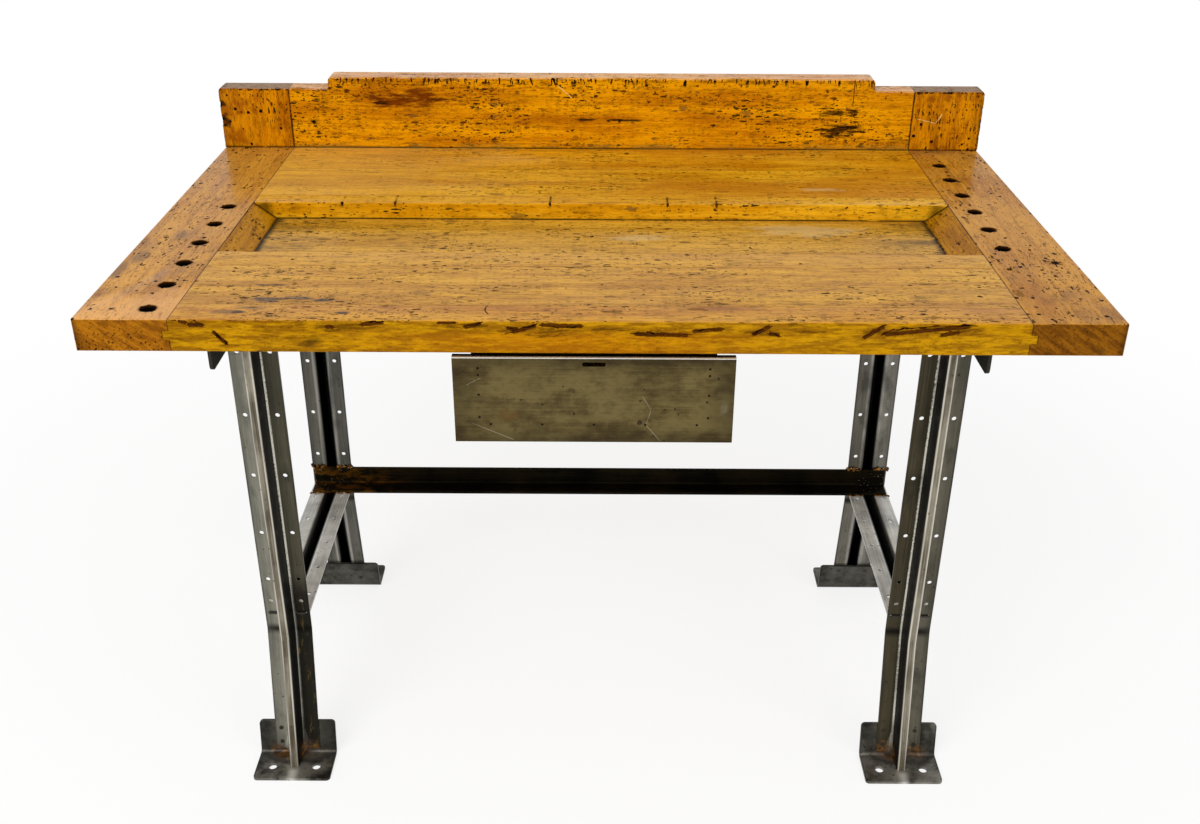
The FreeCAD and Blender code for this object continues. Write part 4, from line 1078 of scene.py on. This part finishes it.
class Steel:
    """A steel piece's new material, where its surface is, and the marks of rolling on it."""

    def __init__(self, node, seed, brush, kick=0.0):
        """Brush scales the fine lines along each axis. Kick is the slope of a leg below its bend."""
        self.node = node
        self.low, self.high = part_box(node)
        self.material, self.start = new_material(node + "_steel")
        self.place = self.start.node("TexCoord", output="Object")
        self.x, self.y, self.z = split(self.place)
        rolled = self.place
        if kick:
            back = self.y - most(LEG_BEND_Z - self.z, 0.0) * kick
            rolled = self.place.node("CombineXYZ", sockets={0: self.x, 1: back, 2: self.z})
        self.lines = noise(stretched(rolled, brush, seed), detail=3.0, roughness=0.6)
        patches = stretched(rolled, (13.0, 13.0, 7.0), seed + 2.0)
        self.patches = noise(patches, detail=5.0, roughness=0.6)
        self.specks = spots(stretched(rolled, (190.0, 190.0, 190.0), seed + 4.0), 0.06, 0.42)

    def from_middle(self):
        """How far the surface lies to the right of the piece's middle."""
        return self.x - (self.low.x + self.high.x) / 2

    def streaky(self, share, low, high, dark, pale):
        """Two colours, mixed by the lines for a share and by the patches for the rest."""
        pattern = self.lines * share + self.patches * (1.0 - share)
        return mix(smooth(pattern, low, high), dark, pale)

    def finish(self, colour, rough, metallic, height, depth):
        sockets = {"Base Color": colour, "Roughness": rough, "Metallic": metallic}
        finish_surface(self.start, {**sockets, "Normal": bump(height, depth)})
        paint(self.node, self.material)


def rust_colour(place, seed):
    """Golden-brown rust in streaks over nearly black."""
    streaks = noise(stretched(place, (110.0, 60.0, 160.0), seed + 7.0), detail=5.0, roughness=0.7)
    colour = mix(smooth(streaks, 0.38, 0.56), srgb(26, 18, 8), srgb(96, 64, 24))
    return mix(smooth(streaks, 0.56, 0.70), colour, srgb(158, 112, 48))


def leg_finish(row, hand, outer_tone, inner_tone):
    """Bare pressed steel: streaky flanges in two tones whose difference is painted light and shade, a
    painted sheen towards the rib, a brown rib with painted highlights on its roots and edges, and
    painted shade, nearly black, inside the channel and on the rib's side towards the middle.
    """
    seed = {"front": 5.0, "rear": 8.0}[row] + {"left": 0.0, "right": 1.5}[hand]
    to_middle = 1.0 if hand == "left" else -1.0
    outwards = -1.0 if row == "front" else 1.0
    leg = Steel(f"{row}_{hand}_leg", seed, (330.0, 330.0, 5.0), LEG_KICK * outwards)
    lines, patches = leg.lines, leg.patches
    inward = leg.from_middle() * to_middle
    across = abs(inward)
    grit = noise(stretched(leg.place, (420.0, 420.0, 420.0), seed + 5.0), detail=2.0)
    nx, ny, _ = split(leg.start.node("NewGeometry", output="Normal"))
    turned_in = nx * to_middle
    facing_out = ny * outwards

    # The two halves take their own tones; the difference between them is painted light and shade
    inner_half = smooth(inward, -0.002, 0.002)
    tone = mix(inner_half, outer_tone, inner_tone)
    dull = mix(inner_half, shaded(outer_tone, 0.5), shaded(inner_tone, 0.5))
    colour = leg.streaky(0.45, 0.36, 0.62, dull, tone)
    # Painted sheen: the outer flange lighter towards the rib's root
    sheen = smooth(inward, -LEG_EDGE + 0.004, -LEG_ROOT - 0.004) * smooth(patches, 0.34, 0.56)
    colour = mix(sheen * smooth(inward, 0.0, -0.002) * 0.55, colour, shaded(outer_tone, 1.7))
    # Painted highlights along the rib's roots, fainter down on the flare; the inner one is speckled
    root = smooth(across, LEG_CREST, LEG_CREST + 0.001) * smooth(facing_out, 0.25, 0.5)
    above_flare = 0.30 + smooth(leg.z, LEG_FLARE_Z, LEG_FLARE_Z + 0.03) * 0.6
    outer_root_highlight = root * smooth(turned_in, -0.06, -0.35) * smooth(lines, 0.30, 0.52)
    inner_root_highlight = root * smooth(turned_in, 0.06, 0.35) * smooth(lines * 0.6 + grit * 0.4, 0.36, 0.56)
    colour = mix(most(outer_root_highlight, inner_root_highlight) * above_flare, colour, srgb(206, 203, 190))

    crest = smooth(across, LEG_CREST + 0.0012, LEG_CREST - 0.0006) * smooth(facing_out, 0.2, 0.6)
    colour = mix(crest, colour, leg.streaky(0.35, 0.36, 0.60, srgb(80, 72, 58), srgb(150, 143, 127)))
    # Painted highlight along the crest's rounded edges
    crest_edge_highlight = near(across, LEG_CREST - 0.0020, 0.0022) * smooth(facing_out, 0.25, 0.6)
    colour = mix(crest_edge_highlight * smooth(lines, 0.28, 0.52) * 0.85, colour, srgb(216, 211, 196))
    # Painted shade: the rib's side towards the middle nearly black
    shaded_rib_side = smooth(turned_in, 0.70, 0.90) * smooth(across, LEG_ROOT + 0.003, LEG_ROOT)
    colour = mix(shaded_rib_side * 0.97, colour, srgb(12, 12, 10))
    inside = smooth(facing_out, 0.05, -0.05)
    # Painted highlight beside the channel, on faces that look inwards
    beside = near(across, LEG_ROOT + 0.0045, 0.0045) * inside * smooth(lines, 0.30, 0.56)
    colour = mix(beside * 0.6, colour, srgb(176, 174, 166))
    # Painted shade: the channel nearly black
    painted_channel_shade = smooth(across, LEG_ROOT + 0.002, LEG_ROOT - 0.001) * inside
    colour = mix(painted_channel_shade * 0.98, colour, srgb(6, 6, 5))

    on_flange = smooth(across, LEG_ROOT, LEG_ROOT + 0.006)
    smudge = smooth(patches, 0.54, 0.70) * 0.6
    bend = near(leg.z, LEG_BEND_Z, 0.014) * smooth(patches, 0.34, 0.54) * on_flange
    # Darker towards the flanges' outer edges
    darker_flange_edge = smooth(across, LEG_EDGE - 0.005, LEG_EDGE) * smooth(patches, 0.44, 0.60) * 0.7
    colour = mix(most(smudge, bend * 0.95, darker_flange_edge, leg.specks * 0.6), colour, srgb(22, 20, 16))
    if row == "front" and hand == "left":
        colour = mix(*burnt_flange(inward, leg.z, leg.place, colour))
    metallic = 0.85
    if row == "front":
        rust = smooth(leg.z + (patches - 0.5) * 0.08, 0.030, 0.010)
        rust = rust * smooth(across, LEG_CREST, LEG_ROOT)
        colour = mix(rust * 0.85, colour, rust_colour(leg.place, seed))
        metallic = 0.85 - rust * 0.5
    leg.finish(colour, 0.32 + patches * 0.2, metallic, lines * 0.4 - leg.specks, 0.0002)


def burnt_flange(from_rib, z, place, colour):
    """Blackening with golden streaks on the low inner flange of the front left leg."""
    low_part = smooth(z, 0.37, 0.31) * smooth(from_rib, LEG_ROOT - 0.001, LEG_ROOT + 0.003)
    streaks = noise(stretched(place, (150.0, 150.0, 22.0), 91.0), detail=4.0, roughness=0.6)
    burnt = mix(smooth(streaks, 0.56, 0.70), srgb(20, 17, 11), srgb(94, 76, 42))
    return low_part * 0.85, colour, burnt


def foot_finish(row, hand):
    """Dull plate with dark specks. The front ones are rusty under the leg, with a painted reflection of
    the rib before it.
    """
    seed = {"front": 15.0, "rear": 18.0}[row] + {"left": 0.0, "right": 1.5}[hand]
    foot = Steel(f"{row}_{hand}_foot", seed, (40.0, 260.0, 40.0))
    patches = foot.patches
    across = abs(foot.from_middle())
    grit = spots(stretched(foot.place, (330.0, 330.0, 330.0), seed + 6.0), 0.30, 0.45)
    plate = smooth(foot.z, 0.0075, 0.0055)
    tone = 1.0 if row == "front" else 0.62
    dark = shaded(srgb(38, 36, 31), tone)
    pale = shaded(srgb(104, 101, 92), tone)
    worn = shaded(srgb(142, 140, 131), tone)
    colour = foot.streaky(0.3, 0.36, 0.62, dark, pale)
    colour = mix(plate * smooth(patches, 0.38, 0.60) * 0.7, colour, worn)
    metallic = 0.8
    if row == "front":
        before_bend = (foot.high.y - FOOT_BEND_BACK) - foot.y
        # Painted reflection of the rib on the plate before it
        painted_rib_reflection = near(across, 0.0, 0.013) * smooth(before_bend, 0.040, 0.052) * plate
        colour = mix(painted_rib_reflection * 0.75, colour, srgb(206, 203, 196))
        from_rib = distance(across * 0.5, before_bend) + (patches - 0.5) * 0.08
        colour = mix(near(from_rib, 0.030, 0.014) * 0.6, colour, srgb(20, 16, 10))
        rust = smooth(from_rib, 0.028, 0.012) * smooth(foot.z, 0.026, 0.010)
        colour = mix(rust * 0.9, colour, rust_colour(foot.place, seed))
        metallic = 0.8 - rust * 0.5
    rounded_edge = smooth(across, FOOT_HALF - 0.004, FOOT_HALF)
    colour = mix(rounded_edge * 0.5, colour, srgb(28, 26, 22))
    pitted = most(foot.specks, grit * smooth(patches, 0.50, 0.60))
    colour = mix(pitted * 0.85, colour, srgb(12, 11, 9))
    foot.finish(colour, 0.38 + patches * 0.2, metallic, patches * 0.3 - foot.specks, 0.0003)


def side_stretcher_finish(hand):
    """Pale flanges over a channel of painted shade, nearly black, with tabs at both ends darkened as
    painted shade.
    """
    seed = 31.0 if hand == "left" else 33.0
    bar = Steel(f"{hand}_side_stretcher", seed, (420.0, 8.0, 420.0))
    colour = bar.streaky(0.4, 0.34, 0.66, srgb(150, 152, 148), srgb(222, 225, 221))
    # Painted shade: the channel nearly black
    painted_channel_shade = smooth(abs(bar.from_middle()), LEG_ROOT + 0.003, LEG_ROOT)
    colour = mix(painted_channel_shade * 0.97, colour, srgb(7, 7, 6))
    dirty = most(bar.specks, smooth(bar.patches, 0.60, 0.75))
    colour = mix(dirty * 0.6, colour, srgb(52, 50, 46))
    # Painted shade: the tabs darker than the stretcher they belong to
    front_tabs = smooth(bar.y, bar.low.y + 0.0065, bar.low.y + 0.0055)
    rear_tabs = smooth(bar.y, bar.high.y - 0.0065, bar.high.y - 0.0055)
    colour = mix(most(front_tabs, rear_tabs) * 0.97, colour, srgb(38, 35, 30))
    bar.finish(colour, 0.34 + bar.patches * 0.2, 0.5, bar.lines * 0.3, 0.0002)


def top_rail_finish(hand):
    """Mill-scale black with brown rust."""
    tone = srgb(58, 55, 48)
    rail = Steel(f"{hand}_top_rail", 51.0, (420.0, 9.0, 420.0))
    colour = rail.streaky(0.4, 0.38, 0.62, shaded(tone, 0.45), tone)
    rust = smooth(rail.patches + (rail.lines - 0.5) * 0.3, 0.60, 0.70)
    colour = mix(rust * 0.6, colour, srgb(78, 48, 18))
    colour = mix(rail.specks * 0.5, colour, SOOT)
    height = rail.lines * 0.3 + rail.patches - rail.specks
    rail.finish(colour, 0.46 + rail.patches * 0.25, 0.75, height, 0.0004)


def back_stretcher_finish():
    """Nearly black angle iron, with brown heat tint at its left end and bright spatter at both."""
    angle = Steel("back_stretcher", 55.0, (8.0, 300.0, 300.0))
    colour = angle.streaky(0.4, 0.38, 0.62, srgb(7, 6, 4), srgb(32, 27, 15))
    scorch = noise(stretched(angle.place, (34.0, 60.0, 90.0), 58.0), detail=5.0, roughness=0.65)
    tinted = smooth(angle.x, -0.36, -0.50) * smooth(scorch, 0.44, 0.60)
    colour = mix(tinted * 0.9, colour, srgb(92, 60, 10))
    rusty = smooth(angle.patches, 0.60, 0.74) * 0.35
    colour = mix(rusty, colour, srgb(44, 28, 9))
    spatter = spots(stretched(angle.place, (420.0, 420.0, 420.0), 56.0), 0.10, 0.42)
    spatter = spatter * smooth(abs(angle.x), 0.49, 0.55)
    colour = mix(spatter * 0.7, colour, srgb(206, 198, 180))
    height = angle.lines * 0.3 + angle.patches + spatter
    angle.finish(colour, 0.5 + angle.patches * 0.25, 0.94, height, 0.0005)


def weld_finish():
    """Black and golden-brown slag, bright where the metal shows."""
    material, start = new_material("weld_metal_finish")
    place = start.node("TexCoord", output="Object")
    slag = noise(stretched(place, (150.0, 150.0, 150.0), 57.0), detail=4.0, roughness=0.6)
    grains = spots(stretched(place, (400.0, 400.0, 400.0), 59.0), 0.30, 0.5)
    colour = mix(smooth(slag, 0.42, 0.60), srgb(12, 9, 5), srgb(116, 78, 26))
    colour = mix(smooth(slag, 0.62, 0.70) * 0.8, colour, srgb(170, 128, 70))
    colour = mix(grains * 0.8, colour, srgb(214, 206, 188))
    sockets = {"Base Color": colour, "Roughness": 0.34 + slag * 0.3, "Metallic": 0.9}
    finish_surface(start, {**sockets, "Normal": bump(slag + grains, 0.0004)})
    paint("weld_beads", material)


def drawer_scratches(sheet):
    """Thin scratches, one of them winding, and where the sheet is scuffed near its right end."""
    winding = ((0.0643, 0.7332), (0.0776, 0.7096), (0.0706, 0.6839), (0.0925, 0.6563))
    long_cut = ((-0.1941, 0.6866), (-0.1286, 0.6567))
    short_cut = ((-0.1992, 0.7501), (-0.1763, 0.7627))
    cuts = [line(sheet.x, sheet.z, points, 0.0009) for points in (winding, long_cut, short_cut)]
    scuffed = near(sheet.x, 0.188, 0.009) * near(sheet.z, 0.695, 0.036)
    return most(*cuts), scuffed * smooth(sheet.patches, 0.42, 0.56)


def drawer_front_finish():
    """Olive-brown sheet, mottled and darker towards its edges, with pale scratches and, on the lip, a
    painted highlight on its front bend and painted shade behind it.
    """
    sheet = Steel("drawer_front", 41.0, (7.0, 300.0, 420.0))
    x, z = sheet.x, sheet.z
    middle = (sheet.low + sheet.high) / 2
    half = (sheet.high - sheet.low) / 2
    clouds = noise(stretched(sheet.place, (13.0, 13.0, 20.0), 43.0), detail=6.0, roughness=0.68)
    mottled = smooth(sheet.lines * 0.2 + clouds * 0.8, 0.36, 0.64)
    colour = mix(mottled, srgb(66, 54, 29), srgb(112, 98, 60))
    side_edges = smooth(abs(x - middle.x), half.x - 0.06, half.x)
    long_edges = smooth(abs(z - middle.z), half.z - 0.035, half.z)
    colour = mix(most(side_edges, long_edges) * 0.45, colour, srgb(38, 31, 16))

    scratched, scuffed = drawer_scratches(sheet)
    pale = most(scratched * smooth(clouds, 0.30, 0.60) * 0.42, scuffed * 0.5)
    colour = mix(pale, colour, srgb(178, 168, 142))
    rusty = blot(x, z, (-0.1387, 0.6998), (0.020, 0.014), clouds)
    colour = mix(rusty * 0.3, colour, srgb(104, 66, 22))
    stained = blot(x, z, (-0.0426, 0.7427), (0.012, 0.010), clouds)
    ringed = near(distance(x - 0.0607, z - 0.6881) + (clouds - 0.5) * 0.012, 0.0025, 0.0032)
    cloudy = smooth(clouds, 0.60, 0.74)
    dark = most(sheet.specks * 0.7, cloudy * 0.4, stained * 0.45, ringed * 0.85)
    colour = mix(dark, colour, srgb(24, 20, 12))
    # Painted light on the lip: a highlight on its front bend and near-black shade behind it
    lip = smooth(z, sheet.high.z - 0.0024, sheet.high.z - 0.0010)
    bend = smooth(sheet.y, sheet.low.y + 0.0050, sheet.low.y + 0.0038)
    colour = mix(lip, colour, mix(bend, srgb(10, 9, 7), srgb(236, 236, 230)))
    height = clouds * 0.3 - scratched - sheet.specks
    sheet.finish(colour, 0.42 + clouds * 0.2, 0.8, height, 0.0002)


def dull_steel(node, seed, tone):
    """Dull grey sheet or fasteners, with rolled lines and stains."""
    sheet = Steel(node, seed, (30.0, 8.0, 260.0))
    colour = sheet.streaky(0.4, 0.36, 0.64, shaded(tone, 0.5), tone)
    stained = most(sheet.specks, smooth(sheet.patches, 0.60, 0.76))
    colour = mix(stained * 0.55, colour, srgb(40, 34, 24))
    height = sheet.lines * 0.4 - sheet.specks
    sheet.finish(colour, 0.40 + sheet.patches * 0.25, 0.9, height, 0.0002)


def steel_finishes():
    # Outer and inner flange tones of each leg; the difference between them is painted light and shade
    leg_finish("front", "left", srgb(124, 122, 110), srgb(90, 86, 71))
    leg_finish("front", "right", srgb(92, 88, 76), srgb(80, 73, 56))
    leg_finish("rear", "left", srgb(92, 90, 82), srgb(100, 98, 90))
    leg_finish("rear", "right", srgb(118, 115, 106), srgb(112, 108, 98))
    for hand in ("left", "right"):
        foot_finish("front", hand)
        foot_finish("rear", hand)
        side_stretcher_finish(hand)
        top_rail_finish(hand)
        dull_steel(f"{hand}_drawer_runner", 53.0, srgb(112, 110, 104))
    back_stretcher_finish()
    weld_finish()
    drawer_front_finish()
    dull_steel("drawer_tray", 61.0, srgb(112, 106, 90))
    for i, node in enumerate(("foot_rivets", "rail_lag_screws", "backboard_screws", "runner_screws")):
        dull_steel(node, 63.0 + i, srgb(70, 66, 58))
    dull_steel("drawer_rivets", 69.0, srgb(40, 34, 22))


# Studio


def make_camera():
    data = bpy.data.cameras.new("photo_camera")
    data.lens = CAMERA_LENS
    data.sensor_width = CAMERA_SENSOR
    camera = bpy.data.objects.new("photo_camera", data)
    bpy.context.scene.collection.objects.link(camera)
    turn = Matrix.Rotation(CAMERA_YAW, 4, "Z") @ Matrix.Rotation(math.pi / 2 - CAMERA_PITCH, 4, "X")
    camera.matrix_world = Matrix.Translation(CAMERA_PLACE) @ turn @ Matrix.Rotation(CAMERA_ROLL, 4, "Z")
    bpy.context.scene.camera = camera


def soft_light(name, place, size, power):
    data = bpy.data.lights.new(name, "AREA")
    data.shape = "DISK"
    data.size = size
    data.energy = power
    light = bpy.data.objects.new(name, data)
    light.location = place
    light.rotation_euler = (Vector(LIGHT_TARGET) - Vector(place)).to_track_quat("-Z", "Y").to_euler()
    bpy.context.scene.collection.objects.link(light)


def seen_directly(start):
    """1 for rays that show the background: from the camera, a reflection or glass."""
    camera = start.node("LightPath", output="Is Camera Ray")
    return most(camera, camera.also("Is Glossy Ray"), camera.also("Is Transmission Ray"))


def make_world():
    world = bpy.data.worlds.new("white_studio")
    world.use_nodes = True
    world.node_tree.nodes.clear()
    start = Wire(world.node_tree)
    seen = seen_directly(start)
    sky = start.node("Background", sockets={"Color": WHITE, "Strength": seen + (1.0 - seen) * AMBIENT})
    start.node("OutputWorld", sockets={"Surface": sky})
    bpy.context.scene.world = world


def make_floor():
    """Pale floor that shows white away from the bench and keeps the bench's shadow."""
    mesh = bpy.data.meshes.new("studio_floor")
    corners = [(-1, -1), (1, -1), (1, 1), (-1, 1)]
    mesh.from_pydata([(FLOOR_HALF * u, FLOOR_HALF * v, 0.0) for u, v in corners], [], [(0, 1, 2, 3)])
    floor = bpy.data.objects.new("studio_floor", mesh)
    bpy.context.scene.collection.objects.link(floor)
    material, start = new_material("studio_floor")
    x, y, _ = split(start.node("TexCoord", output="Object"))
    away = smooth(distance(x, y), FLOOR_GLOW_START, FLOOR_GLOW_FULL)
    shown = seen_directly(start) * (FLOOR_GLOW_NEAR + away * (1.0 - FLOOR_GLOW_NEAR))
    lit = start.node("BsdfDiffuse", sockets={"Color": FLOOR_COLOUR})
    glow = start.node("Emission", sockets={"Color": WHITE, "Strength": 1.0})
    surface = start.node("MixShader", sockets={0: shown, 1: lit, 2: glow})
    start.node("OutputMaterial", sockets={"Surface": surface})
    mesh.materials.append(material)


bpy.context.scene.view_settings.view_transform = "Standard"
make_camera()
make_world()
make_floor()
soft_light("key_light", KEY_PLACE, KEY_SIZE, KEY_POWER)
soft_light("fill_light", FILL_PLACE, FILL_SIZE, FILL_POWER)
wear_wood()
build_welds()
wooden_finishes()
steel_finishes()
